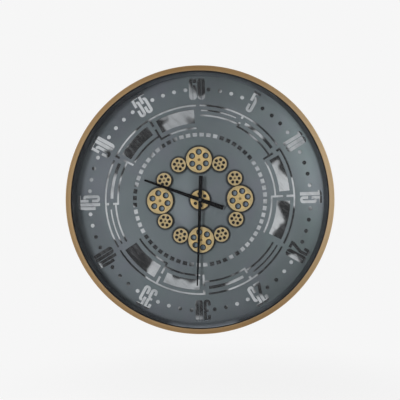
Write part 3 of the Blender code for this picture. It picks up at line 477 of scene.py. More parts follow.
class Finish:
    """The nodes of a material or of the world."""

    def __init__(self, owner):
        self.owner = owner
        owner.use_nodes = True
        self.tree = owner.node_tree
        self.tree.nodes.clear()

    def node(self, kind, values=None, output=0, **settings):
        """A node with its settings and the values or links of its sockets, as one of its outputs."""
        node = self.tree.nodes.new(kind)
        for name, value in settings.items():
            setattr(node, name, value)
        for name, value in (values or {}).items():
            target = node.inputs[name]
            if isinstance(value, Socket):
                self.tree.links.new(value.socket, target)
            elif hasattr(value, "__len__") and target.type == "RGBA":
                target.default_value = (*value, 1.0)
            else:
                target.default_value = value
        return Socket(self, node.outputs[output])

    def place(self, output="Object"):
        """The place on the piece, in its own frame."""
        return self.node("ShaderNodeTexCoord", output=output)

    def axes(self, vector=None):
        """The three coordinates of the place, or of another vector."""
        vector = vector or self.place()
        return [self.node("ShaderNodeSeparateXYZ", {0: vector}, k) for k in range(3)]

    def joined(self, x, y, z=0.0):
        """A vector of three values."""
        return self.node("ShaderNodeCombineXYZ", {0: x, 1: y, 2: z})

    def vector(self, operation, a, b=(0.0, 0.0, 0.0), output=0, scale=1.0):
        """Two vectors put through a Vector Math node."""
        return self.node("ShaderNodeVectorMath", {0: a, 1: b, 3: scale}, output, operation=operation)

    def blend(self, factor, a, b):
        """One colour laid over another by this factor."""
        return self.node("ShaderNodeMix", {0: factor, 6: a, 7: b}, 2, data_type="RGBA")

    def tinted(self, factor, colour, tint):
        """The colour multiplied by a tint, by this factor."""
        return self.blend(factor, colour, self.vector("MULTIPLY", colour, tint))

    def noise(self, scale, detail=2.0, roughness=0.5, vector=None):
        """Noise from 0 to 1 over the piece."""
        values = {"Vector": vector or self.place(), "Scale": scale, "Detail": detail, "Roughness": roughness}
        return self.node("ShaderNodeTexNoise", values)

    def polar(self):
        """Clock angle in turns, from 0 to 1, and radius, about the piece's own axis."""
        x, _, z = self.axes()
        angle = x.math("ARCTAN2", z) / (2 * math.pi)
        return angle.math("WRAP", 1.0, 0.0), (x * x + z * z).math("SQRT")

    def bump(self, height, strength, distance):
        """The surface's direction over this relief."""
        return self.node("ShaderNodeBump", {"Strength": strength, "Distance": distance, "Height": height})

    def surface(self, **values):
        """Ends in one Principled shader; keys give its sockets with _ for a space."""
        named = {key.replace("_", " "): value for key, value in values.items()}
        self.end(self.node("ShaderNodeBsdfPrincipled", named))

    def end(self, shader, kind="ShaderNodeOutputMaterial"):
        """Links the shader to the output."""
        self.tree.links.new(shader.socket, self.tree.nodes.new(kind).inputs[0])


def material(name, colour):
    """The nodes of a new material, with the colour shown while it isn't rendered."""
    made = bpy.data.materials.new(name)
    made.diffuse_color = (*colour, 1.0)
    return Finish(made)


def shade(colour, factor):
    """The colour made darker or paler."""
    return tuple(min(1.0, channel * factor) for channel in colour)


def bronze_lacquer(name, colour):
    """Satin bronze lacquer over a rolled hoop: fine brushing along the hoop, painted light that is palest towards
    three and nine o'clock, and painted highlights along the lip's edges.
    """
    f = material(name, colour)
    angle, radius = f.polar()
    _, depth, _ = f.axes()
    brushing = f.noise(1.0, 3.0, 0.6, f.joined(angle * 9.0, radius * 900.0, depth * 900.0))
    clouds = f.noise(5.5, 2.0)
    grain = f.noise(1400.0, 2.0)
    # Painted light: palest a little above three o'clock and again at nine, and painted shade makes it browner at the
    # top and bottom
    light_sway = ((angle - 0.235) * (4 * math.pi)).math("COSINE") * 0.5 + 0.5
    right = ((angle - 0.205) * (2 * math.pi)).math("COSINE") * 0.5 + 0.5
    # Painted highlights along the lip's edges
    edge = (radius.steps(0.2988, 0.2999) + radius.steps(0.2904, 0.2890)) * depth.steps(-0.0735, -0.0752)
    # The pale tone serves the random clouds as well as the painted light and highlights
    pale = (colour[0] * 1.85, colour[1] * 2.25, colour[2] * 3.2)
    base = f.blend(light_sway**1.4 * (right * 0.78 + 0.25), shade(colour, 0.93), pale)
    base = f.blend(clouds.steps(0.3, 0.7) * 0.5, base, f.blend(0.3, base, pale))
    base = f.blend(edge * 0.3, base, pale)
    base = f.blend((brushing - 0.5) * 0.35, base, shade(colour, 0.6))
    f.surface(
        Base_Color=base,
        Metallic=0.55,
        Roughness=brushing * 0.12 + clouds * 0.08 + 0.34,
        Coat_Weight=0.15,
        Coat_Roughness=0.25,
        Normal=f.bump(grain * 0.5 + brushing * 0.5, 0.12, 0.0002),
    )


def clear_glass(name, colour):
    """Thin float glass: nearly all of what is behind shows, under a faint reflection."""
    f = material(name, colour)
    smear = f.noise(7.0, 3.0)
    sheen = f.node("ShaderNodeFresnel", {"IOR": 1.5}) * 0.22
    clear = f.node("ShaderNodeBsdfTransparent", {"Color": (1.0, 1.0, 1.0)})
    gloss = f.node("ShaderNodeBsdfGlossy", {"Color": colour, "Roughness": 0.02})
    f.end(f.node("ShaderNodeMixShader", {0: sheen * (smear * 0.2 + 0.9), 1: clear, 2: gloss}))


def grey_wall(name, colour):
    """Grey enamel inside the hoop, with painted light along the bottom, at the top, on the left and at the lower
    right, and painted shade towards the lip.
    """
    f = material(name, colour)
    across, depth, height = f.axes()
    clouds = f.noise(9.0, 3.0)
    grain = f.noise(1100.0, 2.0)
    # Masks of painted light: a pale crescent along the bottom, a pale band at the top, and a pale patch at the lower
    # right
    lit_bottom = height.steps(-0.2740, -0.2800) * (depth.steps(-0.036, -0.056) * 0.45 + 0.55)
    top = height.steps(0.240, 0.281) * depth.steps(-0.0695, -0.060)
    lit_low_right = across.steps(0.03, 0.13) * height.steps(-0.19, -0.245) * depth.steps(-0.066, -0.045)
    base = f.blend(clouds.steps(0.3, 0.7), shade(colour, 0.92), shade(colour, 1.08))
    # Painted light: paler on the left, at the top and at the lower right
    base = f.blend(across.steps(0.25, -0.25) * 0.8, base, shade(colour, 1.55))
    base = f.blend(top, base, shade(colour, 2.9))
    base = f.blend(lit_low_right, base, shade(colour, 2.3))
    # Painted light and shade: the wall is paler next to the dial above and below, and darker at the lip but for its
    # right side
    paler = depth.steps(-0.058, -0.038) * height.math("ABSOLUTE").steps(0.20, 0.27) * 0.75
    darker = depth.steps(-0.056, -0.068) * across.steps(0.14, -0.02) * 0.28
    base = f.vector("SCALE", base, scale=paler - darker + 1.0)
    # Painted light: the pale crescent along the bottom
    base = f.blend(lit_bottom * 0.9, base, shade(colour, 7.2))
    f.surface(
        Base_Color=base,
        Roughness=clouds * 0.15 + 0.42,
        Metallic=0.1,
        Normal=f.bump(grain, 0.1, 0.0001),
    )


def blue_grey_dial(name, colour):
    """Satin blue-grey paint on sheet steel, mottled like sprayed enamel, with painted light and shade and cut edges
    painted near black.
    """
    f = material(name, colour)
    x, depth, z = f.axes()
    angle, radius = f.polar()
    clouds = f.noise(6.0, 4.0, 0.55)
    orange_peel = f.noise(420.0, 2.0)
    speck = f.noise(1900.0, 1.0)
    tint = f.noise(11.0, 3.0, 0.6)
    # Painted light: the paint is palest towards half past two, a painted highlight, and painted shade makes it a
    # little darker at the top and bottom
    ahead = x * math.sin(math.radians(75.0)) + z * math.cos(math.radians(75.0))
    light_sway = ((angle - 0.222) * (4 * math.pi)).math("COSINE") * radius
    level = light_sway * 0.33 + ahead.steps(0.08, 0.18) * 0.13 + ahead.steps(0.19, 0.31) * 0.95 + 0.745
    outer = radius.steps(0.205, 0.245)
    # Painted shade: darker lobes of the outer dial, by clock angle, half width and change
    for lobe, width, change in ((17.0, 22.0, -0.12), (255.0, 26.0, -0.15), (315.0, 24.0, -0.13), (120.0, 30.0, -0.08)):
        near = ((angle - lobe / 360.0) * (2 * math.pi)).math("COSINE")
        level = level + near.steps(math.cos(math.radians(width)), 1.0) * outer * change
    # Painted light on the dial just left of the centre
    level = level + x.steps(-0.004, -0.032) * radius.steps(0.078, 0.062) * 0.22
    base = f.vector("SCALE", colour, scale=level)
    right = ahead.steps(-0.06, 0.16)
    base = f.tinted(outer * (1 - right) * 0.8, base, (1.012, 0.993, 1.018))
    base = f.tinted(outer * right * 0.8, base, (0.985, 1.008, 0.978))
    base = f.tinted(tint.steps(0.48, 0.66) * 0.55, base, (1.07, 0.96, 1.05))
    base = f.tinted(tint.steps(0.46, 0.30) * 0.5, base, (0.95, 1.04, 0.98))
    base = f.tinted(clouds.steps(0.35, 0.7) * 0.3, base, (1.12, 1.12, 1.12))
    base = f.blend(speck.steps(0.55, 0.75) * 0.10, base, shade(colour, 1.7))
    # How far each place is from the rim of the nearest gear, in one quarter that stands for all four
    large_rim, small_rim, centre_rim = 0.0298, 0.0166, 0.0223
    quarter = (angle * (2 * math.pi) + math.pi / 4).math("WRAP", math.pi / 2, 0.0) - math.pi / 4
    quarter = quarter.math("ABSOLUTE")
    along, across = radius * quarter.math("COSINE"), radius * quarter.math("SINE")
    small_along, small_across = SMALL_CIRCLE * math.cos(math.pi / 6), SMALL_CIRCLE / 2
    from_large = f.vector("LENGTH", f.joined(along - LARGE_CIRCLE, across), output=1) - large_rim
    from_small = f.vector("LENGTH", f.joined(along - small_along, across - small_across), output=1) - small_rim
    gap = from_large.math("MINIMUM", from_small).math("MINIMUM", radius - centre_rim)
    # Painted shadows: dark rings round the gears' rims and where the wall meets the dial, and painted light on the
    # dial seen through the large gears' holes
    ring = gap.steps(-0.003, -0.001) * gap.steps(0.0062, 0.0034)
    base = f.tinted(from_large.steps(-0.0035, -0.0065), base, (1.60, 1.72, 1.90))
    shadow = ring * 0.68 + radius.steps(0.2800, 0.2866) * (1 - right) * 0.30
    shadow = shadow + radius.steps(0.2812, 0.2862) * ahead.steps(0.22, 0.28) * 0.52
    base = f.blend(shadow, base, (0.010, 0.011, 0.013))
    # The cut edges are painted near black
    cut_edge = depth.steps(-DIAL[1] + 0.00001, -DIAL[1] + 0.00008)
    base = f.blend(cut_edge * 0.9, base, (0.020, 0.022, 0.025))
    f.surface(
        Base_Color=base,
        Metallic=0.25,
        Roughness=clouds * 0.14 + 0.40,
        Normal=f.bump(orange_peel * 0.7 + speck * 0.3, 0.10, 0.0001),
    )


def mirror(name, colour):
    """Silvered acrylic, very slightly wavy."""
    f = material(name, colour)
    waves = f.noise(11.0, 2.0)
    ripple = f.noise(60.0, 1.0)
    haze = f.noise(25.0, 3.0)
    f.surface(
        Base_Color=f.blend(haze.steps(0.3, 0.8) * 0.3, colour, shade(colour, 0.9)),
        Metallic=1.0,
        Roughness=haze * 0.02 + 0.008,
        Normal=f.bump(waves * 0.88 + ripple * 0.12, 0.2, 0.0006),
    )


def powder_black(name, colour):
    """Black powder coat with its fine pebbled skin."""
    f = material(name, colour)
    pebble = f.node("ShaderNodeTexVoronoi", {"Vector": f.place(), "Scale": 650.0})
    fine = f.noise(1500.0, 2.0)
    dust = f.noise(8.0, 4.0)
    f.surface(
        Base_Color=f.blend(dust.steps(0.4, 0.75) * 0.5, colour, shade(colour, 1.7)),
        Roughness=dust * 0.2 + 0.5,
        Normal=f.bump(pebble * 0.7 + fine * 0.3, 0.35, 0.0003),
    )


def gold_face(name, colour):
    """Pale gold satin plate, brushed round its own axis and greyer towards a large one's rim."""
    f = material(name, colour)
    angle, radius = f.polar()
    rings = f.noise(1.0, 2.0, 0.6, f.joined(angle * 3.0, radius * 5200.0))
    clouds = f.noise(55.0, 4.0, 0.6)
    stains = f.noise(160.0, 2.0)
    base = f.blend(clouds.steps(0.3, 0.7), shade(colour, 0.88), shade(colour, 1.10))
    base = f.blend(stains.steps(0.5, 0.75) * 0.4, base, shade(colour, 0.72))
    base = f.blend(rings.steps(0.35, 0.7) * 0.25, base, shade(colour, 0.8))
    base = f.tinted(radius.steps(0.0200, 0.0262), base, (0.83, 0.88, 1.0))
    f.surface(
        Base_Color=base,
        Metallic=0.45,
        Roughness=rings * 0.15 + clouds * 0.1 + 0.30,
        Normal=f.bump(rings, 0.2, 0.0001),
    )


def aged_brass(name, colour):
    """Darkened brass of a screw head."""
    f = material(name, colour)
    stains = f.noise(700.0, 3.0)
    clouds = f.noise(90.0, 2.0)
    f.surface(
        Base_Color=f.blend(stains.steps(0.35, 0.75) * 0.7, colour, shade(colour, 0.5)),
        Metallic=0.6,
        Roughness=stains * 0.2 + clouds * 0.1 + 0.35,
        Normal=f.bump(stains, 0.15, 0.0001),
    )


def bright_steel(name, colour):
    """Turned bright steel with fine tool marks."""
    f = material(name, colour)
    angle, radius = f.polar()
    marks = f.noise(1.0, 2.0, 0.6, f.joined(angle * 4.0, radius * 7000.0))
    smudge = f.noise(80.0, 3.0)
    f.surface(
        Base_Color=f.blend(smudge.steps(0.4, 0.8) * 0.4, colour, shade(colour, 0.75)),
        Metallic=1.0,
        Roughness=marks * 0.12 + smudge * 0.12 + 0.2,
        Normal=f.bump(marks, 0.1, 0.0001),
    )


def sheet_steel(name, colour):
    """Zinc-plated sheet with its faint spangle."""
    f = material(name, colour)
    spangle = f.node("ShaderNodeTexVoronoi", {"Vector": f.place(), "Scale": 260.0}, 1)
    smudge = f.noise(40.0, 4.0)
    scratches = f.noise(1.0, 2.0, 0.6, f.vector("MULTIPLY", f.place(), (1800.0, 200.0, 60.0)))
    f.surface(
        Base_Color=f.blend(smudge.steps(0.35, 0.75) * 0.5, f.blend(0.06, colour, spangle), shade(colour, 0.7)),
        Metallic=0.95,
        Roughness=smudge * 0.2 + scratches * 0.1 + 0.25,
        Normal=f.bump(scratches, 0.08, 0.0001),
    )


def cell_wrap(name, colour):
    """A cell: printed wrap with a pale band at one end, and bare steel at both ends."""
    f = material(name, colour)
    along, _, _ = f.axes()
    creases = f.noise(120.0, 3.0)
    bare = along.math("ABSOLUTE").steps(0.0236, 0.0240)
    pale_band = along.steps(0.0128, 0.0132) * (1 - bare)
    printed = f.blend(creases.steps(0.4, 0.8) * 0.3, colour, shade(colour, 1.6))
    printed = f.blend(pale_band, printed, (0.50, 0.36, 0.10))
    f.surface(
        Base_Color=f.blend(bare, printed, (0.6, 0.6, 0.58)),
        Metallic=bare * 0.75 + 0.2,
        Roughness=creases * 0.12 + 0.25,
        Normal=f.bump(creases, 0.05, 0.0002),
    )


def plain_finish(clouds, patches, tone, gloss, grain, bump, **constants):
    """A maker of plain finishes: soft patches of another tone and gloss over a fine grain.

    Clouds and grain are noise settings, patches the two ends of the clouds' range and the patches'
    strength, gloss the span and start of the roughness, and bump the grain's strength and depth.
    """

    def maker(name, colour):
        f = material(name, colour)
        cloud = f.noise(*clouds)
        low, high, strength = patches
        f.surface(
            Base_Color=f.blend(cloud.steps(low, high) * strength, colour, shade(colour, tone)),
            Roughness=cloud * gloss[0] + gloss[1],
            Normal=f.bump(f.noise(*grain), *bump),
            **constants,
        )

    return maker


dusty_rubber = plain_finish(
    (60.0, 3.0), (0.45, 0.8, 0.5), 2.2, (0.15, 0.62), (900.0, 3.0), (0.25, 0.0002), Specular_IOR_Level=0.12
)
rubbed_moulding = plain_finish(
    (45.0, 3.0), (0.4, 0.75, 0.5), 1.9, (0.2, 0.42), (1200.0, 3.0), (0.15, 0.0001), Specular_IOR_Level=0.25
)
eroded_plastic = plain_finish((30.0, 3.0), (0.4, 0.8, 0.4), 1.8, (0.18, 0.44), (2200.0, 3.0, 0.65), (0.3, 0.00015))
acetal = plain_finish(
    (50.0, 3.0), (0.3, 0.8, 0.5), 0.88, (0.1, 0.38), (900.0, 2.0), (0.08, 0.0001), Subsurface_Weight=0.05
)
satin_lacquer = plain_finish(
    (35.0, 3.0), (0.4, 0.8, 0.4), 2.0, (0.15, 0.45), (1000.0, 2.0), (0.08, 0.0001), Specular_IOR_Level=0.10
)

# Each finish, its maker, its colour, what it is for, and the solids that wear it
FINISHES = (
    ("bronze_lacquer", bronze_lacquer, (0.31, 0.185, 0.075), "Hoop and lip", ("case_hoop",)),
    ("black_rubber", dusty_rubber, (0.014, 0.014, 0.015), "Gasket and washer", ("glass_gasket", "movement_washer")),
    ("clear_glass", clear_glass, (0.98, 0.99, 0.99), "Tint of the glass's reflection", ("front_glass",)),
    ("grey_wall", grey_wall, (0.034, 0.038, 0.043), "Wall between the glass and the dial", ("inner_wall",)),
    ("blue_grey_dial", blue_grey_dial, (0.150, 0.178, 0.190), "Dial", ("dial_plate",)),
    ("mirror", mirror, (0.88, 0.90, 0.91), "Mirror behind the dial", ("mirror_plate",)),
    ("black_pan", powder_black, (0.022, 0.022, 0.024), "Back pan", ("back_pan",)),
    ("black_gear", rubbed_moulding, (0.010, 0.010, 0.011), "Gears", ("large_gear", "small_gear", "centre_gear")),
    ("gold_face", gold_face, (0.60, 0.44, 0.20), "Large gear faces", ("large_face", "centre_face")),
    ("small_gold_face", gold_face, (0.505, 0.395, 0.212), "Small gear faces", ("small_face",)),
    ("aged_brass", aged_brass, (0.38, 0.275, 0.135), "Gear screws", ()),
    (
        "bright_steel", bright_steel, (0.62, 0.61, 0.60), "Turned steel",
        ("movement_nut", "gear_arbor", "minute_shaft", "hour_tube"),
    ),
    ("dark_nickel", bright_steel, (0.085, 0.095, 0.098), "Cap on the hands", ("hand_cap",)),
    ("plated_steel", sheet_steel, (0.56, 0.56, 0.55), "Plated sheet steel", ("wall_hanger", "gear_motor")),
    (
        "black_plastic", eroded_plastic, (0.020, 0.020, 0.021), "Movement and battery box",
        ("movement_case", "battery_box", "battery_cover", "time_set_wheel"),
    ),
    ("white_acetal", acetal, (0.72, 0.71, 0.67), "Drive gears", ("drive_sun_gear", "motor_gear")),
    ("cell_wrap", cell_wrap, (0.045, 0.12, 0.07), "Cells", ("movement_cell", "upper_cell", "lower_cell")),
    ("black_hand", satin_lacquer, (0.0035, 0.0035, 0.004), "Hands", ("minute_hand", "hour_hand")),
)


def colour_property(name, default, text):
    """A colour that a maker may change."""
    title = name.replace("_", " ").capitalize()
    return FloatVectorProperty(name=title, description=text, default=default, subtype="COLOR", min=0.0, max=1.0)


def length_property(name, default, text):
    """A length that a maker may change."""
    return FloatProperty(name=name, description=text, default=default, unit="LENGTH")


class ClockColours(bpy.types.PropertyGroup):
    """Colours of the clock's finishes."""

    __annotations__ = {name: colour_property(name, default, text) for name, _, default, text, _ in FINISHES}


class ClockSizes(bpy.types.PropertyGroup):
    """Sizes that a maker may change without touching the frame."""

    dial_edge: length_property("Cut-out edge", 0.0002, "Rounding of the dial's cut edges")
    hoop_round: length_property("Lip rounding", 0.0016, "Rounding of the hoop's outer front edge")
    large_hole: length_property("Large face hole", 0.0070, "Hole radius in a large gear's face")
    large_inner: length_property("Large gear hole", 0.0052, "Hole radius in a large gear")
    small_hole: length_property("Small face hole", 0.0036, "Hole radius in a small gear's face")
    centre_hole: length_property("Centre face hole", 0.0040, "Hole radius in the centre gear's face")
    screw_head: length_property("Screw head", 0.0029, "Radius of the small screw heads at the back")


class ClockOperator:
    """What the operators share."""

    bl_options = {"REGISTER", "UNDO"}

    @property
    def sizes(self):
        """The sizes set in the panel."""
        return bpy.context.scene.clock_sizes


class CLOCK_OT_finishes(ClockOperator, bpy.types.Operator):
    """Make every finish, and put one on each solid of the frame"""

    bl_idname = "clock.finishes"
    bl_label = "Finishes"

    def execute(self, context):
        colours = context.scene.clock_colours
        for plain in bpy.data.materials:
            plain.name = "frame_" + plain.name
        for name, maker, *_ in FINISHES:
            maker(name, tuple(getattr(colours, name)))
        for name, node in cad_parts.items():
            wanted = bpy.data.materials[self.wanted(name)]
            for place in node.material_slots:
                place.material = wanted
            if not node.material_slots:
                node.data.materials.append(wanted)
        return {"FINISHED"}

    def wanted(self, node_name):
        """The name of the finish that a solid wears."""
        for name, *_, starts in FINISHES:
            if node_name.startswith(starts):
                return name
        raise RuntimeError(f"no finish is named for {node_name}")


class CLOCK_OT_hoop(ClockOperator, bpy.types.Operator):
    """Make the hoop, the gasket, the glass and the inner wall"""

    bl_idname = "clock.hoop"
    bl_label = "Hoop and glass"

    def execute(self, context):
        inner, outer = HOOP_RADII
        dish_inner, dish_outer = DISH_RADII
        hoop = rounded(
            [
                (outer, 0.0, 0.0005), (outer, DEPTH, self.sizes.hoop_round), (dish_outer + 0.0004, DEPTH, 0.0002),
                (dish_outer, LIP_DISH), (dish_inner, LIP_DISH), (dish_inner - 0.0004, DEPTH, 0.0002),
                (LIP_INNER, DEPTH, 0.0008), (LIP_INNER, LIP_BACK, 0.0005), (inner, LIP_BACK), (inner, 0.0, 0.0004),
            ],
            4,
        )
        add_piece("bronze_hoop", turned_mesh(hoop, 288), "bronze_lacquer", node="case_hoop")
        gasket = ring_mesh(GASKET_RADII, GASKET, 0.0004, 0.0006, 256)
        add_piece("gasket_ring", gasket, "black_rubber", node="glass_gasket")
        wall = ring_mesh(WALL_RADII, WALL, 0.0003, 0.0006, 256)
        add_piece("wall_ring", wall, "grey_wall", node="inner_wall")
        back, front = GLASS
        pane = rounded([(0.0, back), (GLASS_RADIUS, back, 0.0004), (GLASS_RADIUS, front, 0.0004), (0.0, front)], 2)
        add_piece("glass_pane", turned_mesh(pane, 192, False), "clear_glass", node="front_glass")
        return {"FINISHED"}


class CLOCK_OT_dial(ClockOperator, bpy.types.Operator):
    """Make the dial with its cut-out numbers, dots, arcs, windows and slots"""

    bl_idname = "clock.dial"
    bl_label = "Dial"

    def execute(self, context):
        loops = [circle(DIAL_RADIUS, 240), circle(HUB_OPENING, 40)]
        loops += [circle(ARBOR_OPENING, 24, point(LARGE_CIRCLE, 30.0 * hour)) for hour in LARGE_TURNS]
        loops += [circle(SPINDLE_OPENING, 16, point(SMALL_CIRCLE, 30.0 * hour)) for hour in SMALL_TURNS]
        loops += dial_cutouts()
        sheet = plate_mesh(loops, *DIAL, self.sizes.dial_edge, spread=CUT_SPREAD)
        add_piece("dial_sheet", sheet, "blue_grey_dial", node="dial_plate", sharp=20.0)
        return {"FINISHED"}


class CLOCK_OT_gears(ClockOperator, bpy.types.Operator):
    """Make the thirteen toothed gears with their pierced gold faces and screws"""

    bl_idname = "clock.gears"
    bl_label = "Gears"

    def execute(self, context):
        sizes = self.sizes
        teeth_at = {hour: math.radians(90.0 - 30.0 * hour) + math.pi / LARGE_TEETH for hour in LARGE_TURNS}
        bore = circle(ARBOR_BORE, 24)
        for hour, holes in LARGE_TURNS.items():
            outline = [gear_outline(LARGE_TEETH, teeth_at[hour]), bore]
            gear = plate_mesh(outline + hole_ring(sizes.large_inner, 32, LARGE_HOLES, holes), *GEAR, 0.0001)
            outline = [circle(LARGE_FACE, 96), bore]
            face = plate_mesh(outline + hole_ring(sizes.large_hole, 40, LARGE_HOLES, holes), *FACE, 0.0002)
            self.wheel("large", hour, point(LARGE_CIRCLE, 30.0 * hour), gear, face, "gold_face")
        for hour, holes in SMALL_TURNS.items():
            centre = point(SMALL_CIRCLE, 30.0 * hour)
            leader = min(LARGE_TURNS, key=lambda other: min(abs(other - hour), 12 - abs(other - hour)))
            start = point(LARGE_CIRCLE, 30.0 * leader)
            direction = math.atan2(centre[1] - start[1], centre[0] - start[0])
            turn = direction + math.pi + (math.pi - (teeth_at[leader] - direction) * LARGE_TEETH) / SMALL_TEETH
            top = GEAR[0] + 0.0005
            spindle = [(0.0, top), (SPINDLE_RADIUS, top), (SPINDLE_RADIUS, SPINDLE_FOOT), (0.0, SPINDLE_FOOT)]
            gear = merged(
                plate_mesh([gear_outline(SMALL_TEETH, turn)], *GEAR, 0.0001), turned_mesh(spindle, 20, False)
            )
            outline = [circle(SMALL_FACE, 72), *hole_ring(sizes.small_hole, 28, SMALL_HOLES, holes)]
            self.wheel("small", hour, centre, gear, plate_mesh(outline, *FACE, 0.0002), "small_gold_face")
        seat = circle(CENTRE_SEAT, 40)
        gear = plate_mesh([gear_outline(CENTRE_TEETH, 0.0), seat], *GEAR, 0.0001)
        add_piece("centre_wheel", gear, "black_gear", "centre_train", "centre_gear")
        holes = hole_ring(sizes.centre_hole, 32, CENTRE_HOLES, CENTRE_TURN)
        face = plate_mesh([circle(CENTRE_FACE, 80), seat, *holes], *FACE, 0.0002)
        add_piece("centre_plate", face, "gold_face", "centre_train", "centre_face")
        return {"FINISHED"}

    def wheel(self, size, hour, centre, gear, face, gold):
        """One gear of the ring with its face and its screw."""
        body = f"{size}_train_{hour:02d}"
        add_piece(f"{size}_wheel_{hour:02d}", gear, "black_gear", body, f"{size}_gear_{hour:02d}", centre)
        add_piece(f"{size}_plate_{hour:02d}", face, gold, body, f"{size}_face_{hour:02d}", centre)
        radius, rise, turn, cut = GEAR_SCREWS[size]
        self.screw(f"{size}_screw_{hour:02d}", body, centre, radius, rise, turn * hour, cut)

    def screw(self, name, body, centre, radius, rise, turn, cut):
        """A low domed screw head on a gear's face, with a black cross this wide for its radius as painted shade in its
        cross slot, and a black ring round it as its painted shadow.
        """
        low = FACE[1] + 0.00002
        arm, reach = radius * cut, radius * 0.88
        profile = [
            (0.0, low), (radius, low), (radius, low + rise * 0.4), (radius * 0.86, low + rise * 0.75),
            (radius * 0.6, low + rise * 0.95), (0.0, low + rise),
        ]
        add_piece(name, turned_mesh(profile, 28, False), "aged_brass", body, None, centre)
        cross = []
        for k in range(4):
            cross += turned([(arm, -arm), (reach, -arm), (reach, arm)], math.radians(turn + 90.0 * k))
        # A black cross stands in for the shade in the cross slot, and a black disc just wider than the head paints its
        # shadow
        recess_shade = plate_mesh([cross], low + rise * 0.5, low + rise * 1.04)
        seat = plate_mesh([circle(radius * (1 + cut * 0.73), 28)], low - 0.00001, low + rise * 0.2)
        add_piece(name + "_recess", merged(recess_shade, seat), "black_gear", body, None, centre)


class CLOCK_OT_hands(ClockOperator, bpy.types.Operator):
    """Make both hands and the cap on their shaft"""

    bl_idname = "clock.hands"
    bl_label = "Hands"

    def execute(self, context):
        outline = self.outline(HOUR_AT, length=0.135, tail=0.056, tip_width=0.0048, end_width=0.0106)
        hand = plate_mesh([outline, circle(HOUR_BORE, 32)], *HOUR, 0.00022, 2)
        add_piece("hour_pointer", hand, "black_hand", "hour_works", "hour_hand")
        outline = self.outline(MINUTE_AT, length=0.196, tail=0.0547, tip_width=0.0032, end_width=0.0092)
        hand = plate_mesh([outline, circle(MINUTE_BORE, 28)], *MINUTE, 0.00022, 2)
        add_piece("minute_pointer", hand, "black_hand", "minute_works", "minute_hand")
        low = CAP[0] + CAP_EDGE
        dome = [(0.0, CAP[0]), (CAP_RADIUS, CAP[0]), (CAP_RADIUS, low)]
        for k in range(1, 8):
            t = math.pi / 2 * k / 8
            dome.append((CAP_RADIUS * math.cos(t), low + (CAP[1] - low) * math.sin(t)))
        dome.append((0.0, CAP[1]))
        cap = turned_mesh(dome, 40, False)
        add_piece("polished_cap", cap, "dark_nickel", "minute_works", "hand_cap")
        return {"FINISHED"}

    def outline(self, clock_angle, length, tail, tip_width, end_width):
        """A hand that narrows from its square tail to its tip, with a slight eye at the axis."""
        tip, end = tip_width / 2, end_width / 2
        middle = tip + (end - tip) * length / (length + tail)
        meet = math.asin(middle / EYE_RADIUS)
        side = [(tip, length)]
        for k in range(9):
            a = meet + (math.pi - 2 * meet) * k / 8
            side.append((EYE_RADIUS * math.sin(a), EYE_RADIUS * math.cos(a)))
        side.append((end, -tail))
        return turned(side + [(-x, y) for x, y in reversed(side)], -math.radians(clock_angle))


class CLOCK_OT_back(ClockOperator, bpy.types.Operator):
    """Make the smooth back pan and the fasteners behind it"""

    bl_idname = "clock.back"
    bl_label = "Back"

    def execute(self, context):
        back = PAN[0]
        motor = point(LARGE_CIRCLE, 30.0 * MOTOR_HOUR)
        holes = [circle(BUSH_OPENING, 24), circle(MOTOR_OPENING, 28, motor)]
        holes += [circle(ARBOR_OPENING, 24, point(LARGE_CIRCLE, 30.0 * hour)) for hour in LARGE_TURNS]
        sheet = plate_mesh([circle(PAN_RADIUS, 240), *holes], *PAN, 0.0002)
        inner, outer = RIM_RADII
        rim = rounded(
            [
                (outer, back, 0.0014), (outer, RIM_TOP, 0.0002), (inner, RIM_TOP, 0.0002),
                (inner, back + 0.0012), (RIM_FOOT, back + 0.0012), (RIM_FOOT, back),
            ],
            4,
        )
        shells = [turned_mesh(rim, 240)] + [turned_mesh(self.bead(radius), 160) for radius in BEAD_CIRCLES]
        add_piece("back_sheet", merged(sheet, *shells), "black_pan", node="back_pan")
        for width, nodes in (
            (0.0002, ("time_set_wheel",)),
            (0.0003, ("battery_cover", "wall_hanger", "gear_motor")),
            (0.0004, ("battery_box", "movement_cell", "upper_cell", "lower_cell")),
            (0.0005, ("movement_case",)),
        ):
            for node in nodes:
                self.soften(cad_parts[node], width)
        for name, (x, y), reach in (("motor", motor, MOTOR_EAR), ("hanger", (0.0, HANGER_LEVEL), HANGER_EAR)):
            for k, side in enumerate((-1, 1), 1):
                self.rear_screw(f"{name}_screw_{k}", (x + side * reach, y), REAR_SCREWS)
        for k in range(8):
            self.rear_screw(f"pan_screw_{k + 1}", point(PAN_SCREW_CIRCLE, 22.5 + 45.0 * k), back)
        return {"FINISHED"}

    def bead(self, radius):
        """The profile of a bead pressed into the back sheet."""
        back = PAN[0]
        profile = [(radius - 0.0045, back + 0.0003)]
        for k in range(9):
            t = math.pi * k / 8
            profile.append((radius - 0.0040 * math.cos(t), back + 0.0001 - 0.0010 * math.sin(t)))
        return profile + [(radius + 0.0045, back + 0.0003)]

    def soften(self, node, width):
        """Fine rounded edges on a solid of the frame, by modifiers alone."""
        planar = node.modifiers.new("planes", "DECIMATE")
        planar.decimate_type = "DISSOLVE"
        planar.angle_limit = math.radians(1.0)
        edges = node.modifiers.new("edges", "BEVEL")
        edges.width = width
        edges.segments = 2
        edges.limit_method = "ANGLE"
        edges.angle_limit = math.radians(40.0)

    def rear_screw(self, name, place, level):
        """A domed screw seen from behind, its head standing back from this level."""
        radius, rise, rim = self.sizes.screw_head, 0.0013, 0.0003
        profile = [(0.0, level), (radius, level), (radius, level - rim)]
        for k in range(1, 6):
            t = math.pi / 2 * k / 6
            profile.append((radius * math.cos(t), level - rim - (rise - rim) * math.sin(t)))
        profile += [(radius * 0.2, level - rise), (0.0, level - rise * 0.55)]
        add_piece(name, turned_mesh(profile, 24, False), "bright_steel", centre=place)


